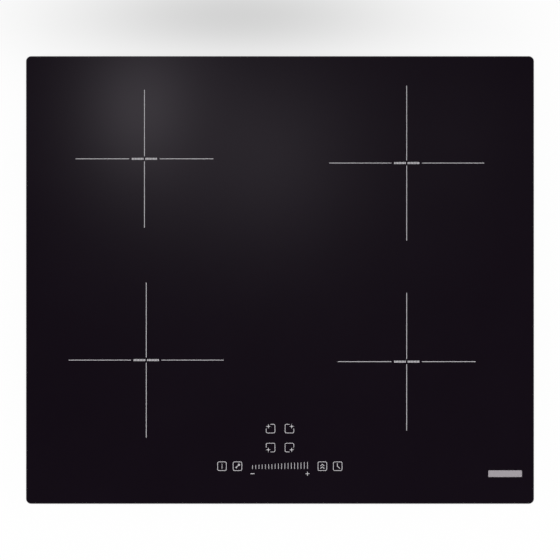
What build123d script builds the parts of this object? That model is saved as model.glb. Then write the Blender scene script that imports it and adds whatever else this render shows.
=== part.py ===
from build123d import *
import math
import os

# Built-in induction cooktop for a worktop cut-out, in millimetres.
# +X is to the right, +Y to the back and +Z up. The origin is the centre of the base underside.
# A ceramic glass plate is bonded to a steel frame, which is screwed inside a folded steel pan.
# Four sprung coils press against the glass from below, and two blowers cool the boards in the pan.

# Glass plate and the gasket that seats it on the worktop
GLASS_WIDTH = 590.0
GLASS_DEPTH = 520.0
GLASS_THICKNESS = 4.0
GLASS_CORNER = 6.0
GLASS_ARRIS = 0.8
OVERALL_HEIGHT = 60.0
GASKET_THICKNESS = 2.0
GASKET_WIDTH = 8.0
GASKET_INSET = 3.0

# Worktop cut-out, and the folded pan that drops into it with side ledges above a deep well
CUTOUT_WIDTH = 560.0
CUTOUT_DEPTH = 490.0
CUTOUT_CLEARANCE = 5.0
SHEET = 0.8
PAN_BEND = 2.4
WELL_WIDTH = 480.0
LEDGE_HEIGHT = 25.0
PAN_TOP_GAP = 0.2

# Pressed stiffening beads and air slots of the pan
BEAD_RISE = 1.6
BEAD_WIDTH = 10.0
BEAD_LENGTH = 300.0
BEAD_ROWS = (-215.0, -175.0)
INTAKE_SLOT = 4.0
INTAKE_PITCH = 8.0
INTAKE_RADIUS = 33.0
INTAKE_ROWS = 7
LOUVRE_WIDTH = 3.2
LOUVRE_HEIGHT = 16.0
LOUVRE_PITCH = 9.0
LOUVRE_COUNT = 12
LOUVRE_GROUP_X = 120.0
LOUVRE_CENTRE_Z = 15.0

# Frame bonded under the glass, an angle section whose leg stands inside the pan wall
FRAME_SHEET = 1.0
FRAME_REACH = 9.0
FRAME_FLANGE = 18.0
FRAME_LEG_GAP = 0.2
FRAME_LEG_BOTTOM = 40.0
BOND_THICKNESS = 1.2
BOND_WIDTH = 6.0

# Cooking zones: centre and diameter, as marked on the glass
ZONES = {
    "back_left": (-157.0, 141.0, 160.0),
    "back_right": (147.0, 136.0, 180.0),
    "front_left": (-156.0, -93.0, 180.0),
    "front_right": (147.0, -95.0, 160.0),
}

# Aluminium tray that carries the coils and shields the boards, standing on the pan ledges
TRAY_SHEET = 1.2
TRAY_TOP = 37.2
TRAY_WIDTH = 524.0
TRAY_DEPTH = 450.0
TRAY_FOOT = 9.0
LEAD_SLOT_LENGTH = 26.0
LEAD_SLOT_WIDTH = 10.0
LEAD_SLOT_RADIUS = 46.0

# Coil module: carrier with ferrite channels, flat wound conductor, insulation and sensor
COIL_MARGIN = 4.0
CARRIER_PLATE = 2.0
CARRIER_RIM = 1.2
CARRIER_MARGIN = 3.0
CARRIER_RIM_HEIGHT = 3.0
WINDING_HEIGHT = 3.4
WINDING_WIDTH = 5.4
WINDING_PITCH = 6.4
WINDING_INNER_RADIUS = 27.0
WINDING_FACETS_PER_TURN = 14
COIL_FACETS = 36
INSULATION_THICKNESS = 1.6
FERRITE_COUNT = 8
FERRITE_WIDTH = 12.0
FERRITE_THICKNESS = 4.5
FERRITE_INNER_RADIUS = 24.0
CHANNEL_RIB = 1.5
CHANNEL_GAP = 0.1
SENSOR_RADIUS = 9.0
SENSOR_TIP_RADIUS = 6.5
SENSOR_TIP_HEIGHT = 2.0
SENSOR_FLANGE_RADIUS = 13.0
SENSOR_FLANGE = 1.5
SENSOR_BODY_DROP = 4.0
SENSOR_FACETS = 12
SENSOR_FIT = 0.4

# Guide pins of the carrier and the leaf springs that lift it
PIN_ANGLES = (22.5, 157.5, 292.5)
PIN_CIRCLE_RADIUS = 36.0
PIN_WIDTH = 6.0
PIN_HOLE_GAP = 0.4
PIN_BOTTOM = 33.0
SPRING_START_RADIUS = 44.0
SPRING_FOOT = 8.0
SPRING_RAMP = 12.0
SPRING_PAD = 6.0
SPRING_WIDTH = 10.0
SPRING_SHEET = 0.5

# Blowers: scroll housing on the pan floor, with the intake below and the outlet to the front
BLOWER_CENTRES = {"left": (-140.0, 160.0), "right": (140.0, 160.0)}
SCROLL_FIRST_RADIUS = 44.0
SCROLL_GROWTH = 28.0
SCROLL_FACETS = 24
SCROLL_OUTLET = 58.0
SCROLL_WALL = 1.8
BLOWER_TOP = 26.0
COVER_THICKNESS = 1.6
MOTOR_RADIUS = 12.8
MOTOR_FACETS = 24
MOTOR_FIT = 0.4
MOTOR_FLANGE_WIDTH = 34.0
MOTOR_FLANGE = 1.5
MOTOR_BOTTOM = 11.5
MOTOR_BORE_TOP = 25.0
SHAFT_RADIUS = 1.5
SHAFT_CLEARANCE = 0.05
SHAFT_TOP = 24.0
IMPELLER_RADIUS = 40.0
IMPELLER_INNER_RADIUS = 31.0
IMPELLER_BLADES = 20
IMPELLER_LOW = 4.6
IMPELLER_HIGH = 22.6
IMPELLER_DISC = 1.2
IMPELLER_RING = 1.0
IMPELLER_FACETS = 40
BLADE_THICKNESS = 1.0
BLADE_CURVE = ((31.2, 0.0), (36.0, 3.0), (39.5, 11.0))
CUP_RADIUS = 15.2
CUP_WALL = 1.4
CUP_BOTTOM = 9.2

# Power boards on hexagonal posts, each with its heatsink and large components
BOARD_THICKNESS = 1.6
BOARD_UNDERSIDE = 6.8
BOARD_X = (18.0, 228.0)
BOARD_Y = (-150.0, 92.0)
POST_RADIUS = 4.0
POST_INSET = 8.0
HEATSINK_X = {"left": -186.0, "right": 94.0}
HEATSINK_Y = (-72.0, 90.0)
HEATSINK_BASE = 4.0
HEATSINK_TOP = 29.0
FIN_COUNT = 9
FIN_PITCH = 6.5
FIN_THICKNESS = 1.6
HEATSINK_LEDGE = 20.0
TRANSISTOR_SIZE = (16.0, 21.0, 5.0)
TRANSISTOR_Y = (-58.0, -28.0, 2.0, 32.0)
RECTIFIER_SIZE = (16.0, 30.0, 5.0)
RECTIFIER_Y = 68.0
CAPACITOR_SIZE = (42.0, 18.0, 20.0)
CAPACITOR_OFFSET_X = 92.0
CAPACITOR_Y = (-20.0, 8.0, 36.0, 64.0)
CHOKE_CORE = (36.0, 30.0, 12.0)
CHOKE_BOBBIN = (26.0, 40.0, 18.0)
CHOKE_OFFSET_X = (30.0, 92.0)
CHOKE_Y = -108.0

# Terminal box in the pan floor at the back, with its hinged lid and the cable bush
TERMINAL_HALF_WIDTH = 43.8
TERMINAL_Y = (180.2, 233.8)
TERMINAL_WALL = 1.8
TERMINAL_BOTTOM = 0.4
TERMINAL_TOP = 26.0
TERMINAL_FLANGE = 3.0
TERMINAL_FIT = 0.2
TERMINAL_BLOCK_HALF_WIDTH = 30.0
TERMINAL_BLOCK_Y = (192.0, 212.0)
TERMINAL_BLOCK_LOW = 10.4
POLE_COUNT = 5
POLE_PITCH = 11.5
POLE_ENTRY = 6.0
POLE_ENTRY_DEPTH = 12.0
POLE_ENTRY_Z = 17.0
POLE_SCREW = 5.0
POLE_SCREW_DEPTH = 3.0
LID_THICKNESS = 1.8
LID_LOW = 0.5
LID_GAP = 0.5
LID_HINGE_Y = 186.0
LID_HINGE_Z = 2.4
LID_PIN_RADIUS = 1.2
LID_PIN_CLEARANCE = 0.05
LID_PIN_LENGTH = 1.6
LID_FRONT_EDGE = 1.9
LID_KNUCKLE_TOP = 4.3
LID_KNUCKLE_LENGTH = 8.0
BUSH_Z = 13.0
BUSH_BORE_RADIUS = 6.5
BUSH_RADIUS = 9.0
BUSH_FACETS = 24
BUSH_NUT_RADIUS = 12.0
BUSH_NUT = 2.5
BUSH_INNER_Y = 231.0
BUSH_FIT = 0.1

# Touch control unit under the front of the glass: a T-shaped tray, board and foam
CONTROL_BAR_HALF_WIDTH = 84.0
CONTROL_BAR_Y = (-224.5, -190.0)
CONTROL_TONGUE_HALF_WIDTH = 30.0
CONTROL_TONGUE_BACK = -158.0
CONTROL_WALL = 1.6
CONTROL_LOW = 43.0
CONTROL_WALL_TOP = 53.0
CONTROL_BOARD_LOW = 48.0
CONTROL_FIT = 0.3
CONTROL_LEG = 7.0
CONTROL_LEGS = ((-74.0, -207.0), (74.0, -207.0), (-21.0, -170.0), (21.0, -170.0))
KEY_PITCH_X = 22.0
KEY_BACK_Y = -172.6
KEY_FRONT_Y = -194.8
DISPLAY_SIZE = 11.0
SLIDER_LENGTH = 66.0
SLIDER_DEPTH = 9.0
SLIDER_Y = -216.0
WINDOW_GAP = 0.5
DISPLAY_DROP = 0.6
RIBBON_X = -22.0
RIBBON_WIDTH = 9.0
RIBBON_THICKNESS = 1.0
RIBBON_DROP_Y = -180.0
RIBBON_LAND_Y = -128.0
RIBBON_LEVEL = 22.0
RIBBON_BEND = 6.0
RIBBON_SLOT_GAP = 1.0

# Worktop clamps that swivel on welded studs under the pan ledges, each held by a nut
CLAMP_CENTRE = (257.0, 150.0)
CLAMP_WIDTH = 20.0
CLAMP_REACH = 46.0
CLAMP_THICKNESS = 2.0
CLAMP_TOP = 24.0
CLAMP_CORNER = 4.0
CLAMP_LIP = 3.0
STUD_RADIUS = 3.0
STUD_CLEARANCE = 0.06
NUT_RADIUS = 6.0
NUT_HEIGHT = 3.0
NUT_GAP = 0.2

# Levels and outlines that follow from the sizes above
GLASS_UNDERSIDE = OVERALL_HEIGHT - GLASS_THICKNESS
SEAT_Z = GLASS_UNDERSIDE - GASKET_THICKNESS
PAN_WIDTH = CUTOUT_WIDTH - 2 * CUTOUT_CLEARANCE
PAN_DEPTH = CUTOUT_DEPTH - 2 * CUTOUT_CLEARANCE
FLANGE_TOP = GLASS_UNDERSIDE - BOND_THICKNESS
FLANGE_LOW = FLANGE_TOP - FRAME_SHEET
PAN_TOP = FLANGE_LOW - PAN_TOP_GAP
LEDGE_FLOOR = LEDGE_HEIGHT + SHEET
INSULATION_LOW = GLASS_UNDERSIDE - INSULATION_THICKNESS
WINDING_LOW = INSULATION_LOW - WINDING_HEIGHT
CARRIER_LOW = WINDING_LOW - CARRIER_PLATE
FERRITE_LOW = CARRIER_LOW - FERRITE_THICKNESS
BOARD_TOP = BOARD_UNDERSIDE + BOARD_THICKNESS
CONTROL_BOARD_TOP = CONTROL_BOARD_LOW + BOARD_THICKNESS
TERMINAL_INNER_HALF_WIDTH = TERMINAL_HALF_WIDTH - TERMINAL_WALL
TERMINAL_INNER_Y = (TERMINAL_Y[0] + TERMINAL_WALL, TERMINAL_Y[1] - TERMINAL_WALL)
OVERCUT = 1.0


def ring(width, depth, wall, low, high):
    """Rectangular band with a wall all round, centred on the origin."""
    band = Rectangle(width, depth) - Rectangle(width - 2 * wall, depth - 2 * wall)
    return Pos(0, 0, low) * extrude(band, high - low)


def block(x_limits, y_limits, z_limits):
    """Box given by its limits along each axis."""
    limits = (x_limits, y_limits, z_limits)
    size = [high - low for low, high in limits]
    middle = [(low + high) / 2 for low, high in limits]
    return Pos(*middle) * Box(*size)


def upright(x, y, radius, low, high):
    """Upright cylinder."""
    return Pos(x, y, (low + high) / 2) * Cylinder(radius, high - low)


def prism(x, y, radius, sides, low, high):
    """Upright prism of many sides, for a round piece or a hexagon."""
    return Pos(x, y, low) * extrude(RegularPolygon(radius, sides), high - low)


def along_y(x, z, outline, front, back):
    """Outline swept straight from back to front."""
    return Pos(x, back, z) * extrude(Plane.XZ * outline, back - front)


def along_x(y, z, radius, left, right):
    """Cylinder whose axis runs from left to right."""
    return Pos((left + right) / 2, y, z) * Rot(0, 90, 0) * Cylinder(radius, right - left)


def joined(shapes):
    """Union of several shapes."""
    whole = shapes[0]
    for shape in shapes[1:]:
        whole = whole + shape
    return whole


def both_sides(value):
    """A distance to the left and to the right of the middle."""
    return (-value, value)


def clamp_places():
    """Name, pivot and rest direction of each worktop clamp. The arms rest towards the middle."""
    x, y = CLAMP_CENTRE
    return {
        "back_left": (-x, y, -1),
        "back_right": (x, y, -1),
        "front_left": (-x, -y, 1),
        "front_right": (x, -y, 1),
    }


def make_glass_top():
    """Ceramic glass plate with ground edges."""
    outline = RectangleRounded(GLASS_WIDTH, GLASS_DEPTH, GLASS_CORNER)
    glass = Pos(0, 0, GLASS_UNDERSIDE) * extrude(outline, GLASS_THICKNESS)
    rims = glass.faces().filter_by(Axis.Z).edges()
    return chamfer(rims, GLASS_ARRIS)


def make_rim_gasket():
    """Foam seal under the rim of the glass, which rests on the worktop."""
    width = GLASS_WIDTH - 2 * GASKET_INSET
    depth = GLASS_DEPTH - 2 * GASKET_INSET
    return ring(width, depth, GASKET_WIDTH, SEAT_Z, GLASS_UNDERSIDE)


def make_bond_bead():
    """Silicone bead that bonds the glass to the frame."""
    return ring(PAN_WIDTH - BOND_WIDTH, PAN_DEPTH - BOND_WIDTH, BOND_WIDTH, FLANGE_TOP, GLASS_UNDERSIDE)


def make_glass_frame():
    """Angle-section frame: a flange under the glass and a leg that stands inside the pan wall."""
    reach = FRAME_REACH - CUTOUT_CLEARANCE
    flange = ring(PAN_WIDTH + 2 * reach, PAN_DEPTH + 2 * reach, FRAME_FLANGE, FLANGE_LOW, FLANGE_TOP)
    inset = SHEET + FRAME_LEG_GAP
    leg = ring(PAN_WIDTH - 2 * inset, PAN_DEPTH - 2 * inset, FRAME_SHEET, FRAME_LEG_BOTTOM, FLANGE_LOW)
    return flange + leg


def pan_block(inset, top):
    """Outer shape of the pan, a wide upper part over a narrower well, shrunk by an inset."""
    y_limits = both_sides(PAN_DEPTH / 2 - inset)
    ledge = LEDGE_HEIGHT + inset
    upper = block(both_sides(PAN_WIDTH / 2 - inset), y_limits, (ledge, top))
    well = block(both_sides(WELL_WIDTH / 2 - inset), y_limits, (inset, ledge))
    whole = upper + well
    floor_bends = whole.faces().sort_by(Axis.Z)[0].edges()
    whole = fillet(floor_bends, PAN_BEND - inset)
    along_depth = whole.edges().filter_by(Axis.Y)
    ledge_bends = [*along_depth.sort_by(Axis.X)[:2], *along_depth.sort_by(Axis.X)[-2:]]
    ledge_bends = [edge for edge in ledge_bends if edge.center().Z < top - inset]
    return fillet(ledge_bends, PAN_BEND - inset)


def intake_slots(x, y):
    """Parallel slots inside a circle, under a blower intake."""
    slots = []
    for row in range(INTAKE_ROWS):
        offset = (row - (INTAKE_ROWS - 1) / 2) * INTAKE_PITCH
        length = 2 * math.sqrt(INTAKE_RADIUS ** 2 - offset ** 2)
        slots.append(Pos(x, y + offset, 0) * Box(length, INTAKE_SLOT, 4 * SHEET))
    return slots


def front_louvres():
    """Exhaust slots in the front wall, in two groups."""
    slots = []
    front = -PAN_DEPTH / 2
    for group_x in both_sides(LOUVRE_GROUP_X):
        for number in range(LOUVRE_COUNT):
            x = group_x + (number - (LOUVRE_COUNT - 1) / 2) * LOUVRE_PITCH
            slots.append(Pos(x, front, LOUVRE_CENTRE_Z) * Box(LOUVRE_WIDTH, 4 * SHEET, LOUVRE_HEIGHT))
    return slots


def make_base_pan():
    """Folded steel pan with pressed beads, air slots, the terminal opening and the cable hole."""
    pan = pan_block(0, PAN_TOP) - pan_block(SHEET, PAN_TOP + OVERCUT)
    for y in BEAD_ROWS:
        raised_x = both_sides(BEAD_LENGTH / 2 + SHEET)
        raised_y = both_sides(BEAD_WIDTH / 2 + SHEET)
        raised = block(raised_x, raised_y, (SHEET, SHEET + BEAD_RISE))
        hollow = block(both_sides(BEAD_LENGTH / 2), both_sides(BEAD_WIDTH / 2), (0, BEAD_RISE))
        pan = pan + Pos(0, y, 0) * raised - Pos(0, y, 0) * hollow
    cuts = front_louvres()
    for x, y in BLOWER_CENTRES.values():
        cuts.extend(intake_slots(x, y))
    opening_x = both_sides(TERMINAL_HALF_WIDTH + TERMINAL_FIT)
    opening_y = (TERMINAL_Y[0] - TERMINAL_FIT, TERMINAL_Y[1] + TERMINAL_FIT)
    cuts.append(block(opening_x, opening_y, (-OVERCUT, SHEET + OVERCUT)))
    back = PAN_DEPTH / 2
    cable_hole = RegularPolygon(BUSH_RADIUS + BUSH_FIT, BUSH_FACETS)
    cuts.append(along_y(0, BUSH_Z, cable_hole, back - 2 * SHEET, back + OVERCUT))
    return pan - cuts


def around(x, y, radius, angle):
    """Point on a circle about a centre."""
    turn = math.radians(angle)
    return (x + radius * math.cos(turn), y + radius * math.sin(turn))


def make_coil_tray():
    """Folded aluminium tray with down-turned legs and outward feet, holed for pins, leads and ribbon."""
    half = TRAY_WIDTH / 2
    inside = half - TRAY_SHEET
    toe = half + TRAY_FOOT
    foot_top = LEDGE_FLOOR + TRAY_SHEET
    right_side = [
        (inside, TRAY_TOP - TRAY_SHEET), (inside, LEDGE_FLOOR), (toe, LEDGE_FLOOR),
        (toe, foot_top), (half, foot_top), (half, TRAY_TOP),
    ]
    left_side = [(-x, z) for x, z in reversed(right_side)]
    section = make_face(Plane.XZ * Polyline(*right_side, *left_side, close=True))
    tray = extrude(section, TRAY_DEPTH / 2, both=True)
    low, high = TRAY_TOP - TRAY_SHEET - OVERCUT, TRAY_TOP + OVERCUT
    cuts = [ribbon_slot(low, high)]
    for x, y, _ in ZONES.values():
        hole = PIN_WIDTH + 2 * PIN_HOLE_GAP
        for angle in PIN_ANGLES:
            pin_x, pin_y = around(x, y, PIN_CIRCLE_RADIUS, angle)
            cuts.append(seated_block(pin_x, pin_y, low, (hole, hole, high - low)))
        lead_y = y - math.copysign(LEAD_SLOT_RADIUS, y)
        cuts.append(seated_block(x, lead_y, low, (LEAD_SLOT_LENGTH, LEAD_SLOT_WIDTH, high - low)))
    return tray - cuts


def winding_outer_radius(zone_diameter):
    """Outer radius of a coil winding, a little inside the marked zone."""
    return zone_diameter / 2 - COIL_MARGIN


def ferrite_span(zone_diameter):
    """Inner and outer radius of the ferrite bars."""
    return FERRITE_INNER_RADIUS, winding_outer_radius(zone_diameter) - CARRIER_RIM


def make_coil_carrier(x, y, zone_diameter):
    """Moulded disc with a rim, channels for the ferrites below and guide pins for the tray."""
    radius = winding_outer_radius(zone_diameter) + CARRIER_MARGIN
    rim_top = WINDING_LOW + CARRIER_RIM_HEIGHT
    disc = prism(0, 0, radius, COIL_FACETS, CARRIER_LOW, rim_top)
    disc = disc - prism(0, 0, radius - CARRIER_RIM, COIL_FACETS, WINDING_LOW, rim_top + OVERCUT)
    pieces = [disc]
    inner, outer = ferrite_span(zone_diameter)
    rib_inside = FERRITE_WIDTH / 2 + CHANNEL_GAP
    for number in range(FERRITE_COUNT):
        turn = Rot(0, 0, number * 360 / FERRITE_COUNT)
        for side in (-1, 1):
            limits = sorted((side * rib_inside, side * (rib_inside + CHANNEL_RIB)))
            pieces.append(turn * block((inner, outer), limits, (FERRITE_LOW, CARRIER_LOW)))
    pin = (PIN_WIDTH, PIN_WIDTH, CARRIER_LOW - PIN_BOTTOM)
    for angle in PIN_ANGLES:
        pin_x, pin_y = around(0, 0, PIN_CIRCLE_RADIUS, angle)
        pieces.append(seated_block(pin_x, pin_y, PIN_BOTTOM, pin))
    hole_radius = SENSOR_RADIUS + SENSOR_FIT
    hole = prism(0, 0, hole_radius, SENSOR_FACETS, CARRIER_LOW - OVERCUT, WINDING_LOW + OVERCUT)
    return Pos(x, y, 0) * (joined(pieces) - hole)


def spiral_edge(turns, offset):
    """Points along one edge of the winding, on an Archimedean spiral."""
    points = []
    for step in range(round(turns * WINDING_FACETS_PER_TURN) + 1):
        turn = step / WINDING_FACETS_PER_TURN
        radius = WINDING_INNER_RADIUS + WINDING_PITCH * turn + offset
        points.append((radius * math.cos(2 * math.pi * turn), radius * math.sin(2 * math.pi * turn)))
    return points


def winding_turns(zone_diameter):
    """Number of turns that fill the carrier, to the nearest quarter."""
    room = winding_outer_radius(zone_diameter) - WINDING_WIDTH / 2 - WINDING_INNER_RADIUS
    return math.floor(4 * room / WINDING_PITCH) / 4


def make_coil_winding(x, y, zone_diameter):
    """Flat spiral of stranded conductor, one unbroken strip."""
    turns = winding_turns(zone_diameter)
    outer = spiral_edge(turns, WINDING_WIDTH / 2)
    inner = spiral_edge(turns, -WINDING_WIDTH / 2)
    per_turn = WINDING_FACETS_PER_TURN
    gaps = [math.dist(low, high) for low, high in zip(outer[:-per_turn], inner[per_turn:])]
    least = min(gaps) * math.cos(math.pi / per_turn)
    print(f"winding of the {zone_diameter:.0f} zone: {turns} turns, least gap to itself {least:.2f} mm")
    strip = make_face(Polyline(*outer, *reversed(inner), close=True))
    return Pos(x, y, WINDING_LOW) * extrude(strip, WINDING_HEIGHT)


def make_ferrite_bars(x, y, zone_diameter):
    """Ferrite bars that lie in the channels under the carrier, pointing at the centre."""
    inner, outer = ferrite_span(zone_diameter)
    half = FERRITE_WIDTH / 2
    bar = block((inner, outer), (-half, half), (FERRITE_LOW, CARRIER_LOW))
    return [Pos(x, y, 0) * Rot(0, 0, number * 360 / FERRITE_COUNT) * bar for number in range(FERRITE_COUNT)]


def make_insulation_disc(x, y, zone_diameter):
    """Mica and fibre disc between the winding and the glass."""
    outline = RegularPolygon(winding_outer_radius(zone_diameter), COIL_FACETS)
    outline = outline - RegularPolygon(SENSOR_RADIUS + SENSOR_FIT, SENSOR_FACETS)
    return Pos(x, y, INSULATION_LOW) * extrude(outline, INSULATION_THICKNESS)


def make_heat_sensor(x, y):
    """Temperature sensor in a silicone holder that touches the glass at the coil centre."""
    low = CARRIER_LOW - SENSOR_BODY_DROP
    flange_low = CARRIER_LOW - SENSOR_FLANGE
    shoulder = GLASS_UNDERSIDE - SENSOR_TIP_HEIGHT
    return joined([
        prism(x, y, SENSOR_TIP_RADIUS, SENSOR_FACETS, low, flange_low),
        prism(x, y, SENSOR_FLANGE_RADIUS, SENSOR_FACETS, flange_low, CARRIER_LOW),
        prism(x, y, SENSOR_RADIUS, SENSOR_FACETS, CARRIER_LOW, shoulder),
        prism(x, y, SENSOR_TIP_RADIUS, SENSOR_FACETS, shoulder, GLASS_UNDERSIDE),
    ])


def make_coil_springs(x, y):
    """Bent leaf springs that stand on the tray and lift the carrier, beside its guide pins."""
    rise = CARRIER_LOW - TRAY_TOP - SPRING_SHEET
    foot_end = SPRING_START_RADIUS + SPRING_FOOT
    ramp_end = foot_end + SPRING_RAMP
    lower = [
        (SPRING_START_RADIUS, TRAY_TOP), (foot_end, TRAY_TOP),
        (ramp_end, TRAY_TOP + rise), (ramp_end + SPRING_PAD, TRAY_TOP + rise),
    ]
    upper = [(radius, z + SPRING_SHEET) for radius, z in reversed(lower)]
    leaf = make_face(Plane.XZ * Polyline(*lower, *upper, close=True))
    spring = extrude(leaf, SPRING_WIDTH / 2, both=True)
    return [Pos(x, y, 0) * Rot(0, 0, angle) * spring for angle in PIN_ANGLES]


def scroll_outline(grow, outlet):
    """Scroll of a blower, whose radius grows evenly round the impeller, and its duct to the front."""
    points = []
    for step in range(SCROLL_FACETS + 1):
        share = step / SCROLL_FACETS
        points.append(around(0, 0, SCROLL_FIRST_RADIUS + SCROLL_GROWTH * share + grow, 360 * share))
    scroll = make_face(Polyline(*points, close=True))
    width = SCROLL_GROWTH + 2 * grow
    duct = Pos(SCROLL_FIRST_RADIUS + SCROLL_GROWTH / 2, outlet / 2) * Rectangle(width, outlet)
    return Rot(0, 0, 180) * (scroll + duct)


def make_blower_housing(x, y):
    """Scroll housing that stands on the pan floor, open above and at the outlet."""
    outer = extrude(scroll_outline(SCROLL_WALL, SCROLL_OUTLET), BLOWER_TOP - SHEET)
    passage = extrude(scroll_outline(0, SCROLL_OUTLET + OVERCUT), BLOWER_TOP)
    intake = prism(0, 0, INTAKE_RADIUS, SCROLL_FACETS, -OVERCUT, 2 * SCROLL_WALL)
    housing = outer - Pos(0, 0, SCROLL_WALL) * passage - intake
    return Pos(x, y, SHEET) * housing


def make_blower_cover(x, y):
    """Lid of the scroll housing, holed for the motor."""
    outline = scroll_outline(SCROLL_WALL, SCROLL_OUTLET)
    outline = outline - RegularPolygon(MOTOR_RADIUS + MOTOR_FIT, MOTOR_FACETS)
    return Pos(x, y, BLOWER_TOP) * extrude(outline, COVER_THICKNESS)


def make_blower_motor(x, y):
    """Fixed part of the motor, hung from the cover, with the bearing bore for the shaft."""
    flange_low = BLOWER_TOP + COVER_THICKNESS
    body = prism(0, 0, MOTOR_RADIUS, MOTOR_FACETS, MOTOR_BOTTOM, flange_low)
    flange = seated_block(0, 0, flange_low, (MOTOR_FLANGE_WIDTH, MOTOR_FLANGE_WIDTH, MOTOR_FLANGE))
    bore = upright(0, 0, SHAFT_RADIUS + SHAFT_CLEARANCE, MOTOR_BOTTOM - OVERCUT, MOTOR_BORE_TOP)
    return Pos(x, y, 0) * (body + flange - bore)


def impeller_blade():
    """Outline of one forward-curved blade, of even thickness along its curve."""
    front, back = [], []
    for radius, angle in BLADE_CURVE:
        half_angle = math.degrees(BLADE_THICKNESS / 2 / radius)
        front.append(around(0, 0, radius, angle + half_angle))
        back.append(around(0, 0, radius, angle - half_angle))
    return make_face(Polyline(*front, *reversed(back), close=True))


def make_blower_rotor(x, y):
    """Impeller: a hub cup over the motor, a top disc, a ring of curved blades and a lower ring."""
    disc_low = IMPELLER_HIGH - IMPELLER_DISC
    lower_top = IMPELLER_LOW + IMPELLER_RING
    cup = prism(0, 0, CUP_RADIUS, MOTOR_FACETS, CUP_BOTTOM, disc_low)
    disc = prism(0, 0, IMPELLER_RADIUS, IMPELLER_FACETS, disc_low, IMPELLER_HIGH)
    hollow = prism(0, 0, CUP_RADIUS - CUP_WALL, MOTOR_FACETS, CUP_BOTTOM + CUP_WALL, IMPELLER_HIGH + OVERCUT)
    band = RegularPolygon(IMPELLER_RADIUS, IMPELLER_FACETS)
    band = band - RegularPolygon(IMPELLER_INNER_RADIUS, IMPELLER_FACETS)
    lower = Pos(0, 0, IMPELLER_LOW) * extrude(band, IMPELLER_RING)
    shaft = upright(0, 0, SHAFT_RADIUS, CUP_BOTTOM, SHAFT_TOP)
    blade = Pos(0, 0, lower_top) * extrude(impeller_blade(), disc_low - lower_top)
    blades = [Rot(0, 0, number * 360 / IMPELLER_BLADES) * blade for number in range(IMPELLER_BLADES)]
    return Pos(x, y, 0) * joined([cup + disc - hollow, shaft, lower, *blades])


def board_limits(side):
    """Left and right edge of a power board."""
    near, far = BOARD_X
    return (-far, -near) if side == "left" else (near, far)


def board_post_places(side):
    """Post places near the corners of a board."""
    left, right = board_limits(side)
    front, back = BOARD_Y
    xs = (left + POST_INSET, right - POST_INSET)
    ys = (front + POST_INSET, back - POST_INSET)
    return [(x, y) for x in xs for y in ys]


def make_power_board(side):
    """Circuit board."""
    return block(board_limits(side), BOARD_Y, (BOARD_UNDERSIDE, BOARD_TOP))


def make_board_posts():
    """Hexagonal posts that carry the boards above the pan floor."""
    return [prism(x, y, POST_RADIUS, 6, SHEET, BOARD_UNDERSIDE)
            for side in BLOWER_CENTRES for x, y in board_post_places(side)]


def make_heatsink(side):
    """Extruded heatsink: fins in the air stream and a side ledge for the power devices."""
    half = FIN_PITCH * (FIN_COUNT - 1) / 2 + FIN_THICKNESS / 2
    width = 2 * half + HEATSINK_LEDGE
    base = Pos(HEATSINK_LEDGE / 2, HEATSINK_BASE / 2) * Rectangle(width, HEATSINK_BASE)
    height = HEATSINK_TOP - BOARD_TOP
    fins = [Pos(number * FIN_PITCH - half + FIN_THICKNESS / 2, height / 2) * Rectangle(FIN_THICKNESS, height)
            for number in range(FIN_COUNT)]
    section = Plane.XZ * joined([base, *fins])
    front, back = HEATSINK_Y
    return Pos(HEATSINK_X[side], back, BOARD_TOP) * extrude(section, back - front)


def ledge_centre(side):
    """Middle of the heatsink ledge, from left to right."""
    half = FIN_PITCH * (FIN_COUNT - 1) / 2 + FIN_THICKNESS / 2
    return HEATSINK_X[side] + half + HEATSINK_LEDGE / 2


def seated_block(x, y, low, size):
    """Box of a given size that stands on a level."""
    return Pos(x, y, low + size[2] / 2) * Box(*size)


def make_power_transistors():
    """Power transistors clamped flat on the heatsink ledges."""
    low = BOARD_TOP + HEATSINK_BASE
    return [seated_block(ledge_centre(side), y, low, TRANSISTOR_SIZE)
            for side in HEATSINK_X for y in TRANSISTOR_Y]


def make_bridge_rectifiers():
    """Bridge rectifiers on the heatsink ledges."""
    low = BOARD_TOP + HEATSINK_BASE
    return [seated_block(ledge_centre(side), RECTIFIER_Y, low, RECTIFIER_SIZE) for side in HEATSINK_X]


def make_film_capacitors():
    """Boxed film capacitors on the boards."""
    return [seated_block(HEATSINK_X[side] + CAPACITOR_OFFSET_X, y, BOARD_TOP, CAPACITOR_SIZE)
            for side in HEATSINK_X for y in CAPACITOR_Y]


def make_filter_chokes():
    """Mains filter chokes: a ferrite core through a wound bobbin."""
    core = seated_block(0, 0, BOARD_TOP + (CHOKE_BOBBIN[2] - CHOKE_CORE[2]) / 2, CHOKE_CORE)
    choke = core + seated_block(0, 0, BOARD_TOP, CHOKE_BOBBIN)
    return [Pos(HEATSINK_X[side] + offset, CHOKE_Y, 0) * choke
            for side in HEATSINK_X for offset in CHOKE_OFFSET_X]


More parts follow.
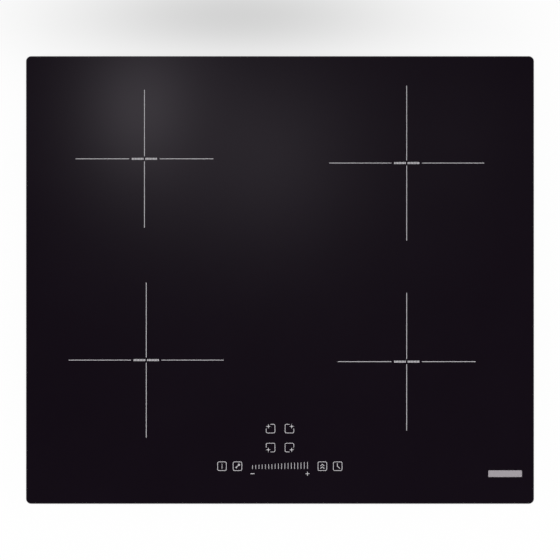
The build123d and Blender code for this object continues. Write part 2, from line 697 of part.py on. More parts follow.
def make_terminal_box():
    """Moulded box that hangs in the pan floor, open below, with hinge holes and the bush hole."""
    outer = block(both_sides(TERMINAL_HALF_WIDTH), TERMINAL_Y, (TERMINAL_BOTTOM, TERMINAL_TOP))
    flange_x = both_sides(TERMINAL_HALF_WIDTH + TERMINAL_FLANGE)
    flange_y = (TERMINAL_Y[0] - TERMINAL_FLANGE, TERMINAL_Y[1] + TERMINAL_FLANGE)
    flange = block(flange_x, flange_y, (SHEET, SHEET + TERMINAL_WALL))
    hollow = block(both_sides(TERMINAL_INNER_HALF_WIDTH), TERMINAL_INNER_Y,
                   (TERMINAL_BOTTOM - OVERCUT, TERMINAL_TOP - TERMINAL_WALL))
    reach = TERMINAL_HALF_WIDTH + OVERCUT
    hinge = along_x(LID_HINGE_Y, LID_HINGE_Z, LID_PIN_RADIUS + LID_PIN_CLEARANCE, -reach, reach)
    cable_hole = RegularPolygon(BUSH_RADIUS + BUSH_FIT, BUSH_FACETS)
    bush = along_y(0, BUSH_Z, cable_hole, TERMINAL_INNER_Y[1] - OVERCUT, TERMINAL_Y[1] + OVERCUT)
    return outer + flange - hollow - hinge - bush


def make_terminal_block():
    """Screw terminal block under the box ceiling, with wire entries to the back and screws below."""
    top = TERMINAL_TOP - TERMINAL_WALL
    body = block(both_sides(TERMINAL_BLOCK_HALF_WIDTH), TERMINAL_BLOCK_Y, (TERMINAL_BLOCK_LOW, top))
    front, back = TERMINAL_BLOCK_Y
    low = TERMINAL_BLOCK_LOW
    cuts = []
    for pole in range(POLE_COUNT):
        x = (pole - (POLE_COUNT - 1) / 2) * POLE_PITCH
        entry = Rectangle(POLE_ENTRY, POLE_ENTRY)
        cuts.append(along_y(x, POLE_ENTRY_Z, entry, back - POLE_ENTRY_DEPTH, back + OVERCUT))
        cuts.append(seated_block(x, (front + back) / 2, low, (POLE_SCREW, POLE_SCREW, POLE_SCREW_DEPTH)))
    return body - cuts


def make_terminal_lid():
    """Lid that closes the box flush with the pan underside and swings down on two pins."""
    half = TERMINAL_INNER_HALF_WIDTH - LID_GAP
    front = LID_HINGE_Y - LID_FRONT_EDGE
    back = TERMINAL_INNER_Y[1] - LID_GAP
    pieces = [block(both_sides(half), (front, back), (LID_LOW, LID_LOW + LID_THICKNESS))]
    knuckle_y = (front, LID_HINGE_Y + LID_FRONT_EDGE)
    for side in (-1, 1):
        knuckle_x = sorted((side * (half - LID_KNUCKLE_LENGTH), side * half))
        pin_x = sorted((side * half, side * (half + LID_PIN_LENGTH)))
        pieces.append(block(knuckle_x, knuckle_y, (LID_LOW, LID_KNUCKLE_TOP)))
        pieces.append(along_x(LID_HINGE_Y, LID_HINGE_Z, LID_PIN_RADIUS, *pin_x))
    return joined(pieces)


def make_cable_bush():
    """Bush that lines the cable way through the back wall into the terminal box, with a hexagon outside."""
    back = PAN_DEPTH / 2
    sleeve = along_y(0, BUSH_Z, RegularPolygon(BUSH_RADIUS, BUSH_FACETS), BUSH_INNER_Y, back)
    nut = along_y(0, BUSH_Z, RegularPolygon(BUSH_NUT_RADIUS, 6), back, back + BUSH_NUT)
    bore = along_y(0, BUSH_Z, Circle(BUSH_BORE_RADIUS), BUSH_INNER_Y - OVERCUT, back + BUSH_NUT + OVERCUT)
    return sleeve + nut - bore


def control_outline(inset):
    """T-shaped outline of the touch control unit."""
    front, step = CONTROL_BAR_Y
    bar_half = CONTROL_BAR_HALF_WIDTH - inset
    tongue_half = CONTROL_TONGUE_HALF_WIDTH - inset
    corners = [
        (-bar_half, front + inset), (bar_half, front + inset), (bar_half, step - inset),
        (tongue_half, step - inset), (tongue_half, CONTROL_TONGUE_BACK - inset),
        (-tongue_half, CONTROL_TONGUE_BACK - inset), (-tongue_half, step - inset), (-bar_half, step - inset),
    ]
    return make_face(Polyline(*corners, close=True))


def ribbon_slot(low, high):
    """Passage for the ribbon cable through a floor."""
    width = RIBBON_WIDTH + 2 * RIBBON_SLOT_GAP
    depth = RIBBON_THICKNESS + 2 * RIBBON_SLOT_GAP
    return seated_block(RIBBON_X, RIBBON_DROP_Y, low, (width, depth, high - low))


def make_control_tray():
    """Moulded tray on four legs that holds the touch board up to the glass."""
    outer = Pos(0, 0, CONTROL_LOW) * extrude(control_outline(0), CONTROL_WALL_TOP - CONTROL_LOW)
    floor_top = CONTROL_LOW + CONTROL_WALL
    hollow = Pos(0, 0, floor_top) * extrude(control_outline(CONTROL_WALL), CONTROL_WALL_TOP - floor_top)
    leg = (CONTROL_LEG, CONTROL_LEG, CONTROL_BOARD_LOW - TRAY_TOP)
    legs = [seated_block(x, y, TRAY_TOP, leg) for x, y in CONTROL_LEGS]
    return joined([outer - hollow, *legs]) - ribbon_slot(CONTROL_LOW - OVERCUT, floor_top + OVERCUT)


def make_control_board():
    """Touch board on the tray legs."""
    outline = control_outline(CONTROL_WALL + CONTROL_FIT)
    return Pos(0, 0, CONTROL_BOARD_LOW) * extrude(outline, BOARD_THICKNESS)


def display_places():
    """Centres of the zone displays, in the pattern of the zones."""
    return [(x, y) for x in both_sides(KEY_PITCH_X / 2) for y in (KEY_BACK_Y, KEY_FRONT_Y)]


def make_display_modules():
    """Zone digits and the slider lamp bar, standing on the touch board behind the glass."""
    height = GLASS_UNDERSIDE - DISPLAY_DROP - CONTROL_BOARD_TOP
    digits = [seated_block(x, y, CONTROL_BOARD_TOP, (DISPLAY_SIZE, DISPLAY_SIZE, height))
              for x, y in display_places()]
    slider = seated_block(0, SLIDER_Y, CONTROL_BOARD_TOP, (SLIDER_LENGTH, SLIDER_DEPTH, height))
    return [*digits, slider]


def make_touch_foam():
    """Black foam between the touch board and the glass, with windows for the displays."""
    height = GLASS_UNDERSIDE - CONTROL_BOARD_TOP
    foam = Pos(0, 0, CONTROL_BOARD_TOP) * extrude(control_outline(CONTROL_WALL + CONTROL_FIT), height)
    grow = 2 * WINDOW_GAP
    cut_height = height + 2 * OVERCUT
    low = CONTROL_BOARD_TOP - OVERCUT
    windows = [seated_block(x, y, low, (DISPLAY_SIZE + grow, DISPLAY_SIZE + grow, cut_height))
               for x, y in display_places()]
    windows.append(seated_block(0, SLIDER_Y, low, (SLIDER_LENGTH + grow, SLIDER_DEPTH + grow, cut_height)))
    return foam - windows


def make_ribbon_cable():
    """Flat cable from the touch board down to the left power board, with two bends."""
    route = [
        (RIBBON_X, RIBBON_DROP_Y, CONTROL_BOARD_LOW), (RIBBON_X, RIBBON_DROP_Y, RIBBON_LEVEL),
        (RIBBON_X, RIBBON_LAND_Y, RIBBON_LEVEL), (RIBBON_X, RIBBON_LAND_Y, BOARD_TOP),
    ]
    path = FilletPolyline(*route, radius=RIBBON_BEND)
    section = Plane(path @ 0, x_dir=(1, 0, 0), z_dir=path % 0) * Rectangle(RIBBON_WIDTH, RIBBON_THICKNESS)
    return sweep(section, path)


def make_worktop_clamp(x, y, way):
    """Pressed clamp arm that swivels under the worktop, with cut corners and a stiffening lip."""
    half = CLAMP_WIDTH / 2
    outline = Pos(0, (CLAMP_REACH - half) / 2) * Rectangle(CLAMP_WIDTH, CLAMP_REACH + half)
    outline = chamfer(outline.vertices(), CLAMP_CORNER)
    low = CLAMP_TOP - CLAMP_THICKNESS
    arm = Pos(0, 0, low) * extrude(outline, CLAMP_THICKNESS)
    lip = block((half - CLAMP_THICKNESS, half), (0, CLAMP_REACH - CLAMP_CORNER), (low - CLAMP_LIP, low))
    hole = upright(0, 0, STUD_RADIUS + STUD_CLEARANCE, low - OVERCUT, CLAMP_TOP + OVERCUT)
    clamp = arm + lip - hole
    if x > 0:
        clamp = mirror(clamp, Plane.YZ)
    if way < 0:
        clamp = mirror(clamp, Plane.XZ)
    return Pos(x, y, 0) * clamp


def make_clamp_studs():
    """Studs welded under the pan ledges, on which the clamps turn, each with its nut."""
    nut_top = CLAMP_TOP - CLAMP_THICKNESS - NUT_GAP
    studs = []
    for x, y, _ in clamp_places().values():
        nut = prism(x, y, NUT_RADIUS, 6, nut_top - NUT_HEIGHT, nut_top)
        studs.append(nut + upright(x, y, STUD_RADIUS, nut_top, LEDGE_HEIGHT))
    return studs


def make_nodes():
    """Every node by name, each one solid or a list of separate solids."""
    nodes = {
        "glass_top": make_glass_top(),
        "rim_gasket": make_rim_gasket(),
        "bond_bead": make_bond_bead(),
        "glass_frame": make_glass_frame(),
        "base_pan": make_base_pan(),
        "coil_tray": make_coil_tray(),
        "board_posts": make_board_posts(),
        "power_transistors": make_power_transistors(),
        "bridge_rectifiers": make_bridge_rectifiers(),
        "film_capacitors": make_film_capacitors(),
        "filter_chokes": make_filter_chokes(),
        "terminal_box": make_terminal_box(),
        "terminal_block": make_terminal_block(),
        "terminal_lid": make_terminal_lid(),
        "cable_bush": make_cable_bush(),
        "control_tray": make_control_tray(),
        "control_board": make_control_board(),
        "display_modules": make_display_modules(),
        "touch_foam": make_touch_foam(),
        "ribbon_cable": make_ribbon_cable(),
        "clamp_studs": make_clamp_studs(),
        "heatsinks": [make_heatsink(side) for side in HEATSINK_X],
        "blower_covers": [make_blower_cover(x, y) for x, y in BLOWER_CENTRES.values()],
        "blower_motors": [make_blower_motor(x, y) for x, y in BLOWER_CENTRES.values()],
    }
    for side, (x, y) in BLOWER_CENTRES.items():
        nodes[f"power_board_{side}"] = make_power_board(side)
        nodes[f"blower_housing_{side}"] = make_blower_housing(x, y)
        nodes[f"blower_rotor_{side}"] = make_blower_rotor(x, y)
    for name, (x, y, zone_diameter) in ZONES.items():
        nodes[f"coil_carrier_{name}"] = make_coil_carrier(x, y, zone_diameter)
        nodes[f"coil_winding_{name}"] = make_coil_winding(x, y, zone_diameter)
        nodes[f"ferrite_bars_{name}"] = make_ferrite_bars(x, y, zone_diameter)
        nodes[f"insulation_disc_{name}"] = make_insulation_disc(x, y, zone_diameter)
        nodes[f"heat_sensor_{name}"] = make_heat_sensor(x, y)
        nodes[f"coil_springs_{name}"] = make_coil_springs(x, y)
    for name, (x, y, way) in clamp_places().items():
        nodes[f"worktop_clamp_{name}"] = make_worktop_clamp(x, y, way)
    return nodes


def save(name, shapes):
    """Writes one node, as one solid or as a group of separate solids."""
    shapes = shapes if isinstance(shapes, list) else [shapes]
    solids = [solid for shape in shapes for solid in shape.solids()]
    export_step(solids[0] if len(solids) == 1 else Compound(solids), f"parts/{name}.step")


os.makedirs("parts", exist_ok=True)
for node_name, node_shapes in make_nodes().items():
    save(node_name, node_shapes)
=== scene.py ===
# %% [markdown]
# # A glass induction cooktop
# The cooktop comes as a packed model: a glass plate, a steel pan below it, and coils, boards and blowers
# inside. These parts already have their real size and place, so this lesson never moves them. We give every
# part its finish, print the marks on the glass, add screws, a soft seal and springs, and light it all in a
# studio. The first step loads the model and keeps its box, to prove at the end that its size stayed.

# %% Load the model
import contextlib
import math

import bmesh
import bpy
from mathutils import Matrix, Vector


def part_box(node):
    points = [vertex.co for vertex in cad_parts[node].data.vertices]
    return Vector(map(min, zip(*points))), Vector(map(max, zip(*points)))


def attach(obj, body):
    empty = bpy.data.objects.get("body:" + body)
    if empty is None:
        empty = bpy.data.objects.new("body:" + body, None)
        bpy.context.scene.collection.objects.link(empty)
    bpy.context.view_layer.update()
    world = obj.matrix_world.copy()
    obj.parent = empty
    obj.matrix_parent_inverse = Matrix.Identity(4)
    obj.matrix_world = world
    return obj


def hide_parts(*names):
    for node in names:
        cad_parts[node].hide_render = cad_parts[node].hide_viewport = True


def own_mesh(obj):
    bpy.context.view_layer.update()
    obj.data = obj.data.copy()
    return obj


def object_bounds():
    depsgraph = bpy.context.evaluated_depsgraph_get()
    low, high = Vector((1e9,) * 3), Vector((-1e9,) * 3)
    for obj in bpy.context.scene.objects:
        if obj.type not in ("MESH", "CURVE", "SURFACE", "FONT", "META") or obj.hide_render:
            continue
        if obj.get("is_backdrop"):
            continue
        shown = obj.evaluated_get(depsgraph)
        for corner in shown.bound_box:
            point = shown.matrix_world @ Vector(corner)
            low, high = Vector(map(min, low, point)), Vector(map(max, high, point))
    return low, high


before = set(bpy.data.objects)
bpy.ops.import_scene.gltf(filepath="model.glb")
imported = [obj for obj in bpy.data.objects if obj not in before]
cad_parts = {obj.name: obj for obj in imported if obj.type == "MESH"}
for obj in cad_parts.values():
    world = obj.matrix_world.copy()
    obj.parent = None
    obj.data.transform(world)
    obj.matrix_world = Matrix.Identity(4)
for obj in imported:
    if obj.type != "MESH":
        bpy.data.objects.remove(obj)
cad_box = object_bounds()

MM = 0.001

# %% [markdown]
# ## Measures
# Blender works in metres, so a size in millimetres is written as a number times `MM`. The glass and the
# cooking zones are read from the model instead of being typed again. A zone is a little wider than the
# insulation disc of its coil, by the margin that the coil keeps inside the mark.

# %% Read the glass and the cooking zones
glass_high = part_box("glass_top")[1]
GLASS_TOP = glass_high.z
COIL_MARGIN = 4 * MM


def in_mm(values):
    """Sizes in millimetres, rounded for printing."""
    return [round(value / MM, 2) for value in values]


def zone_circle(zone):
    """Centre and radius of a cooking zone, from the disc that lies under it."""
    low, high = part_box(f"insulation_disc_{zone}")
    centre = (low + high) / 2
    return centre.x, centre.y, (high.x - low.x) / 2 + COIL_MARGIN


ZONES = {zone: zone_circle(zone) for zone in ("back_left", "back_right", "front_left", "front_right")}
for zone, circle in ZONES.items():
    print(zone, in_mm(circle), "mm")

# %% [markdown]
# ## Sums with sockets
# A finish often needs a small formula, such as one minus a mask. By hand that is a chain of Math nodes.
# Here a small class wraps a socket, so that a plain expression adds those nodes for us. Each operator also
# has its reflected form, because in `1 - mask` the number comes first.

# %% A socket that can do sums
def sums(operation):
    """An operator on a socket that adds a Math node, and its reflected form."""
    def plain(wire, other):
        return wire.bench.node("Math", {"operation": operation}, {0: wire, 1: other})

    def reflected(wire, other):
        return wire.bench.node("Math", {"operation": operation}, {0: other, 1: wire})

    return plain, reflected


class Wire:
    """An output of a node, with arithmetic that adds Math nodes to its tree."""

    __add__, __radd__ = sums("ADD")
    __sub__, __rsub__ = sums("SUBTRACT")
    __mul__, __rmul__ = sums("MULTIPLY")
    __truediv__, __rtruediv__ = sums("DIVIDE")
    __pow__, __rpow__ = sums("POWER")
    __gt__ = sums("GREATER_THAN")[0]
    __lt__ = sums("LESS_THAN")[0]

    def __init__(self, bench, socket):
        self.bench = bench
        self.socket = socket

    def __abs__(self):
        return self.bench.node("Math", {"operation": "ABSOLUTE"}, {0: self})


print("sums ready:", [name for name in vars(Wire) if name.startswith("__r")])

# %% [markdown]
# ## A bench for node trees
# Every material, the floor and the sky are node trees. One method adds any node: it takes the node's type,
# sets it up first, and then fills or links its sockets. The short helpers below only call that method. All
# patterns read Object coordinates, which are metres on the real piece, so a scale of 100 means features of
# 10 mm.

# %% The bench
class Bench:
    """A node tree and the one way in which nodes are added to it."""

    def __init__(self, tree):
        self.tree = tree

    def plug(self, socket, value):
        """Links a socket to an output, or sets its value. A colour gets its alpha of 1 here."""
        if isinstance(value, Wire):
            self.tree.links.new(value.socket, socket)
        else:
            socket.default_value = (*value, 1) if socket.type == "RGBA" else value

    def node(self, kind, settings=None, sockets=None, output=0):
        """Adds a node, sets it up, fills its sockets and gives one of its outputs."""
        made = self.tree.nodes.new(f"ShaderNode{kind}")
        for setting, value in (settings or {}).items():
            if setting == "stops":
                self.fill_ramp(made.color_ramp.elements, value)
            else:
                setattr(made, setting, value)
        for socket, value in (sockets or {}).items():
            self.plug(made.inputs[socket], value)
        return Wire(self, made.outputs[output])

    def fill_ramp(self, elements, stops):
        """Gives a ramp its stops, each a place and a grey, from the lowest place up."""
        for spare in list(elements)[1:]:
            elements.remove(spare)
        for place, _ in stops[1:]:
            elements.new(place)
        for element, (place, grey) in zip(elements, stops):
            element.position = place
            element.color = (grey, grey, grey, 1)

    def spot(self, stretch=(1, 1, 1), centre=(0, 0, 0)):
        """Place on the piece in metres, moved to a centre and stretched along each axis."""
        place = self.node("TexCoord", output="Object")
        shift = [-middle * scale for middle, scale in zip(centre, stretch)]
        return self.node("Mapping", None, {"Vector": place, "Location": shift, "Scale": stretch})

    def axes(self, vector):
        """The three numbers of a vector."""
        parts = self.node("SeparateXYZ", None, {0: vector})
        return [Wire(self, output) for output in parts.socket.node.outputs]

    def noise(self, scale, detail=3.0, stretch=(1, 1, 1)):
        """Cloudy noise from 0 to 1, which a stretch draws out into lines."""
        return self.node("TexNoise", None, {"Vector": self.spot(stretch), "Scale": scale, "Detail": detail})

    def cells(self, scale, output="Distance"):
        """Irregular cells: the distance to the nearest cell centre, or a random colour for each cell."""
        return self.node("TexVoronoi", None, {"Vector": self.spot(), "Scale": scale}, output)

    def crystals(self, place, scale, blur):
        """Random colours of irregular cells that run into each other a little."""
        sockets = {"Vector": place, "Scale": scale, "Smoothness": blur}
        return self.node("TexVoronoi", {"feature": "SMOOTH_F1"}, sockets, "Color")

    def ridges(self, angle):
        """Ridges from 0 to 1, one for each full turn of an angle."""
        return 0.5 + 0.5 * self.node("Math", {"operation": "SINE"}, {0: angle})

    def fall(self, value, start, end, high=1.0, low=0.0):
        """Falls evenly from high to low while a value goes from start to end."""
        return self.node("MapRange", None, {0: value, 1: start, 2: end, 3: high, 4: low})

    def mix(self, factor, first, second):
        """Blend of two colours."""
        return self.node("Mix", {"data_type": "RGBA"}, {0: factor, 6: first, 7: second}, 2)

    def larger(self, first, second):
        """The larger of two numbers."""
        return self.node("Math", {"operation": "MAXIMUM"}, {0: first, 1: second})


print("bench ready, with", len([name for name in vars(Bench) if not name.startswith("_")]), "tools")

# %% [markdown]
# ## A finish
# A finish is a material on the Principled shader. Nearly all finishes here are built alike: a pattern
# blends two shades, a pattern varies the roughness a little, and a fine relief breaks up the shine. By hand
# you would link the same few sockets for every material, so one method does it for all of them.

# %% The finish
class Finish(Bench):
    """A material on the Principled shader."""

    def __init__(self, name):
        self.material = bpy.data.materials.new(name)
        self.material.use_nodes = True
        super().__init__(self.material.node_tree)

    def surface(self, tone, first, second, roughness, relief=None, metallic=0.0):
        """Blends two shades by a tone. A relief is a height from 0 to 1 and its depth in metres."""
        sockets = {"Base Color": self.mix(tone, first, second), "Roughness": roughness, "Metallic": metallic}
        if relief:
            height, depth = relief
            sockets["Normal"] = self.node("Bump", None, {"Height": height, "Distance": depth})
        for socket, value in sockets.items():
            self.plug(self.tree.nodes["Principled BSDF"].inputs[socket], value)
        return self.material

    def show(self, shader):
        """Shows another shader in place of the Principled one."""
        self.plug(self.tree.nodes["Material Output"].inputs["Surface"], shader)
        return self.material


print("finish ready, with", [name for name in vars(Finish) if not name.startswith("_")])

# %% [markdown]
# ## Black ceramic glass
# The plate is dark glass ceramic with a faint violet cast, polished on top and ground along its edges. A
# mirror-like black could be a single dark colour, but then the edge would vanish and the top would look
# like plastic. So the top gets a low roughness with a trace of hand smudges, and a mask by place makes the
# ground edge paler and duller.

# %% Black glass
GROUND_EDGE = 0.9 * MM
SMUDGES = 11.0
WIPED_LINES = (40, 6, 1)


def black_glass():
    finish = Finish("black_glass")
    x, y, _ = finish.axes(finish.spot())
    ground = finish.larger(abs(x) > glass_high.x - GROUND_EDGE, abs(y) > glass_high.y - GROUND_EDGE)
    smudge = finish.noise(SMUDGES, detail=4.0)
    streak = finish.noise(1.0, stretch=WIPED_LINES)
    deep = finish.mix(smudge, (0.0050, 0.0025, 0.0058), (0.0068, 0.0038, 0.0078))
    pale = (0.020, 0.019, 0.022)
    return finish.surface(ground, deep, pale, 0.03 + 0.05 * smudge * streak + 0.30 * ground)


glass = black_glass()
print("glass edge ground over", in_mm([GROUND_EDGE]), "mm")

# %% [markdown]
# ## Galvanised steel
# The pan and the frame are zinc-coated sheet. The coating freezes in flat crystals, the spangle, several
# millimetres wide. Painting spangle by hand would need an image. Cells do it: each takes a random grey and
# a roughness, and runs into the next one a little. Thin lines along the sheet, from rolling, and soft
# stains keep it from looking like tiles.

# %% Galvanised steel
SPANGLE = 140.0
BORDER_NOISE, BORDER_SHIFT = 160.0, 0.012
ROLLED_LINES = (18, 900, 900)
STAINS = 14.0


def galvanised_steel():
    finish = Finish("galvanised_steel")
    border = {"Vector": finish.spot(), "Scale": BORDER_NOISE, "Distortion": 0.6}
    ragged = finish.node("TexNoise", None, border, "Color")
    place = finish.node("Mix", {"data_type": "VECTOR"}, {0: BORDER_SHIFT, 4: finish.spot(), 5: ragged}, 1)
    crystal, second, _ = finish.axes(finish.crystals(place, SPANGLE, blur=0.25))
    rolled = finish.noise(1.0, stretch=ROLLED_LINES)
    stain = finish.noise(STAINS, detail=5.0)
    tone = 0.45 * crystal + 0.25 * rolled + 0.30 * stain
    dull, bright = (0.46, 0.47, 0.485), (0.63, 0.64, 0.65)
    roughness = 0.30 + 0.10 * second + 0.08 * rolled + 0.06 * stain
    relief = (0.4 * crystal + 0.6 * rolled, 0.02 * MM)
    return finish.surface(tone, dull, bright, roughness, relief, metallic=1.0)


steel = galvanised_steel()
print("spangle about", in_mm([1 / SPANGLE]), "mm wide")

# %% [markdown]
# ## Zinc plating and aluminium
# Clamps, studs, springs and screws are plated, which leaves a bright coat with a faint blue and yellow
# tint. The coil tray and the heatsinks are bare aluminium with the fine lines of rolling or drawing along
# one direction. Both are metals with a noise: even clouds for the plating, and noise stretched into lines
# for the aluminium.

# %% Zinc and aluminium
PLATING_CLOUDS, PLATING_GRAIN = 130.0, 2500.0
DRAWN_LINES, METAL_CLOUDS = (2600, 14, 2600), 30.0


def zinc_plating():
    finish = Finish("zinc_plating")
    cloud = finish.noise(PLATING_CLOUDS)
    fine = finish.noise(PLATING_GRAIN)
    bluish, yellowish = (0.50, 0.53, 0.58), (0.62, 0.60, 0.53)
    roughness = 0.18 + 0.12 * cloud + 0.10 * fine
    return finish.surface(cloud, bluish, yellowish, roughness, (fine, 0.01 * MM), metallic=1.0)


def drawn_aluminium():
    finish = Finish("drawn_aluminium")
    lines = finish.noise(1.0, stretch=DRAWN_LINES)
    cloud = finish.noise(METAL_CLOUDS)
    dull, bright = (0.62, 0.63, 0.64), (0.80, 0.80, 0.80)
    roughness = 0.26 + 0.14 * lines + 0.08 * cloud
    return finish.surface(lines, dull, bright, roughness, (lines, 0.015 * MM), metallic=1.0)


zinc = zinc_plating()
aluminium = drawn_aluminium()
print("metals:", zinc.name, aluminium.name)

# %% [markdown]
# ## Moulded plastics
# Housings, carriers, the terminal parts and the component cases are moulded. The mould leaves a fine
# spark-eroded grain, and the colour is never quite even. One function makes them all, because only the
# colour and the gloss differ. The grain is cells a fraction of a millimetre wide, read as bump.

# %% Moulded plastics
FLOW_MARKS = 45.0
PLASTIC_GRAIN = 1400.0
DARKER, LIGHTER = 0.80, 1.12
PLASTICS = {
    "black_plastic": ((0.018, 0.018, 0.020), 0.38),
    "grey_plastic": ((0.17, 0.18, 0.19), 0.42),
    "cream_plastic": ((0.62, 0.56, 0.44), 0.36),
    "capacitor_case": ((0.42, 0.20, 0.035), 0.25),
    "lamp_plastic": ((0.66, 0.67, 0.68), 0.22),
    "sensor_rubber": ((0.70, 0.69, 0.65), 0.48),
}


def moulded(name, shade, gloss_loss):
    finish = Finish(name)
    flow = finish.noise(FLOW_MARKS)
    grain = finish.cells(PLASTIC_GRAIN)
    darker, lighter = ([change * part for part in shade] for change in (DARKER, LIGHTER))
    return finish.surface(flow, darker, lighter, gloss_loss + 0.10 * flow + 0.10 * grain, (grain, 0.03 * MM))


plastics = {name: moulded(name, *look) for name, look in PLASTICS.items()}
print("plastics:", sorted(plastics))

# %% [markdown]
# ## Foam and silicone
# The rim seal and the touch foam are closed-cell foam, with pores that show as small pits. The bond
# under the glass is silicone, which is smoother and shines a little, with soft ripples from the nozzle.
# Pores come from cells, with the pit painted dark, as shade, and deep where the distance to the cell
# centre is small. The hollows of the ripples are painted darker than their crests, also as shade.

# %% Foam and silicone
PORES, FOAM_CLOUDS = 900.0, 70.0
RIPPLES = 240.0


def closed_foam():
    finish = Finish("closed_foam")
    pore = finish.cells(PORES)
    cloud = finish.noise(FOAM_CLOUDS)
    # Painted shade: the pit colour darkens the pores, where shade falls.
    pit, skin = (0.006, 0.006, 0.007), (0.034, 0.034, 0.036)
    return finish.surface(pore, pit, skin, 0.80 + 0.15 * cloud, (pore, 0.25 * MM))


def bonding_silicone():
    finish = Finish("bonding_silicone")
    ripple = finish.noise(RIPPLES)
    # Painted shade: the ripples are darker in their hollows than on their crests.
    hollow, crest = (0.008, 0.008, 0.009), (0.016, 0.016, 0.017)
    return finish.surface(ripple, hollow, crest, 0.28 + 0.20 * ripple, (ripple, 0.20 * MM))


foam = closed_foam()
silicone = bonding_silicone()
print("soft seals:", foam.name, silicone.name)

# %% [markdown]
# ## Circuit boards
# A power board is green lacquer over copper tracks, with tinned pads where parts are soldered. Tracks run
# straight along the board or across it, so cells choose a direction for each patch, and a wave draws the
# lines. The pads are small round spots from finer cells, kept only where a noise is high, so that they come
# in groups.

# %% Circuit boards
PATCHES = 55.0
TRACK_WAVES = 420.0
WAVE_PERIOD = math.pi / 10
PADS, PAD_GROUPS = 260.0, 40.0


def circuit_board():
    finish = Finish("circuit_board")
    patch, chosen, _ = finish.axes(finish.cells(PATCHES, "Color"))
    waves = {"Vector": finish.spot(), "Scale": TRACK_WAVES}
    along, across = (finish.node("TexWave", {"bands_direction": axis}, waves, "Fac") for axis in ("X", "Y"))
    turned = patch > 0.5
    track = (turned * along + (1 - turned) * across > 0.62) * (chosen > 0.35)
    pad = (finish.cells(PADS) < 0.20) * (finish.noise(PAD_GROUPS) > 0.52)
    lacquer = finish.mix(track, (0.010, 0.070, 0.028), (0.022, 0.135, 0.050))
    tin = (0.60, 0.60, 0.58)
    relief = (finish.larger(track * 0.5, pad), 0.05 * MM)
    return finish.surface(pad, lacquer, tin, 0.34 - 0.08 * track, relief, metallic=pad)


board = circuit_board()
print("board tracks", in_mm([WAVE_PERIOD / TRACK_WAVES]), "mm apart")

# %% [markdown]
# ## Copper windings
# A coil is wound with litz wire, which is a rope of many thin lacquered copper strands. The strands run on
# a slant along the flat spiral, so the pattern has to turn with the coil. The angle and the distance from
# the zone's centre give that: their sum, through a sine, draws slanted strands all round. The dark colour
# between the strands is painted shade.

# %% Copper windings
STRANDS_PER_TURN = 150
SLANT = 2400.0
COPPER_CLOUDS = 60.0


def copper_litz(zone):
    finish = Finish(f"copper_litz_{zone}")
    x, y, _ = finish.axes(finish.spot(centre=(*ZONES[zone][:2], 0)))
    angle = finish.node("Math", {"operation": "ARCTAN2"}, {0: y, 1: x})
    strand = finish.ridges(STRANDS_PER_TURN * angle + SLANT * (x * x + y * y) ** 0.5)
    cloud = finish.noise(COPPER_CLOUDS)
    # Painted shade: the gap colour darkens the grooves between the strands.
    gap = (0.16, 0.045, 0.016)
    bright = finish.mix(cloud, (0.62, 0.25, 0.10), (0.76, 0.36, 0.16))
    return finish.surface(strand, gap, bright, 0.30 + 0.20 * cloud, (strand, 0.15 * MM), metallic=0.85)


windings = {zone: copper_litz(zone) for zone in ZONES}
print("windings:", len(windings), "coils of", STRANDS_PER_TURN, "strands in a turn")

# %% [markdown]
# ## Ferrite, mica and ribbon
# Ferrite bars are pressed black ceramic with a dull fine grain. The discs over the coils are mica, pale and
# flaky with a sheen. The ribbon cable is a row of parallel wires, which show as ridges across its width,
# with a red first wire; its darker grey in the valleys between the wires is painted shade. Each of these
# follows the same path: find the one pattern that names the material, and tie colour and bump to it.

# %% Ferrite, mica and ribbon
FERRITE_GRAIN, FERRITE_CLOUDS = 1800.0, 50.0
FLAKES, MICA_CLOUDS = 420.0, 45.0
WIRE_PITCH = 1.27 * MM


def pressed_ferrite():
    finish = Finish("pressed_ferrite")
    grain = finish.noise(FERRITE_GRAIN)
    cloud = finish.noise(FERRITE_CLOUDS)
    black, grey = (0.018, 0.018, 0.020), (0.050, 0.048, 0.050)
    return finish.surface(grain, black, grey, 0.48 + 0.20 * cloud, (grain, 0.06 * MM))


def mica_sheet():
    finish = Finish("mica_sheet")
    flake, second, _ = finish.axes(finish.crystals(finish.spot(), FLAKES, blur=0.2))
    cloud = finish.noise(MICA_CLOUDS, detail=5.0)
    amber, straw = (0.46, 0.39, 0.26), (0.66, 0.58, 0.43)
    tone = 0.45 * flake + 0.55 * cloud
    return finish.surface(tone, amber, straw, 0.22 + 0.25 * second, (flake, 0.03 * MM))


def ribbon_sheath():
    finish = Finish("ribbon_sheath")
    x, _, _ = finish.axes(finish.spot())
    ridge = finish.ridges(x * (2 * math.pi / WIRE_PITCH))
    first_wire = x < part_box("ribbon_cable")[0].x + WIRE_PITCH
    # Painted shade: the grey is darker in the valleys between the wires than on the ridges.
    grey = finish.mix(ridge, (0.24, 0.24, 0.25), (0.38, 0.38, 0.39))
    red = (0.42, 0.02, 0.015)
    return finish.surface(first_wire, grey, red, 0.30 + 0.20 * ridge, (ridge, 0.25 * MM))


ferrite = pressed_ferrite()
mica = mica_sheet()
ribbon = ribbon_sheath()
print("inner finishes:", ferrite.name, mica.name, ribbon.name)

# %% [markdown]
# ## Dress the parts
# Every part of the model now gets its finish. The names of the parts say what they are, so a list of
# finishes, each with the starts of the names that take it, covers all of them. Each winding takes the
# copper that is centred on its own zone. A part that the list forgot would stop the script here, which is
# better than a grey patch in the render.

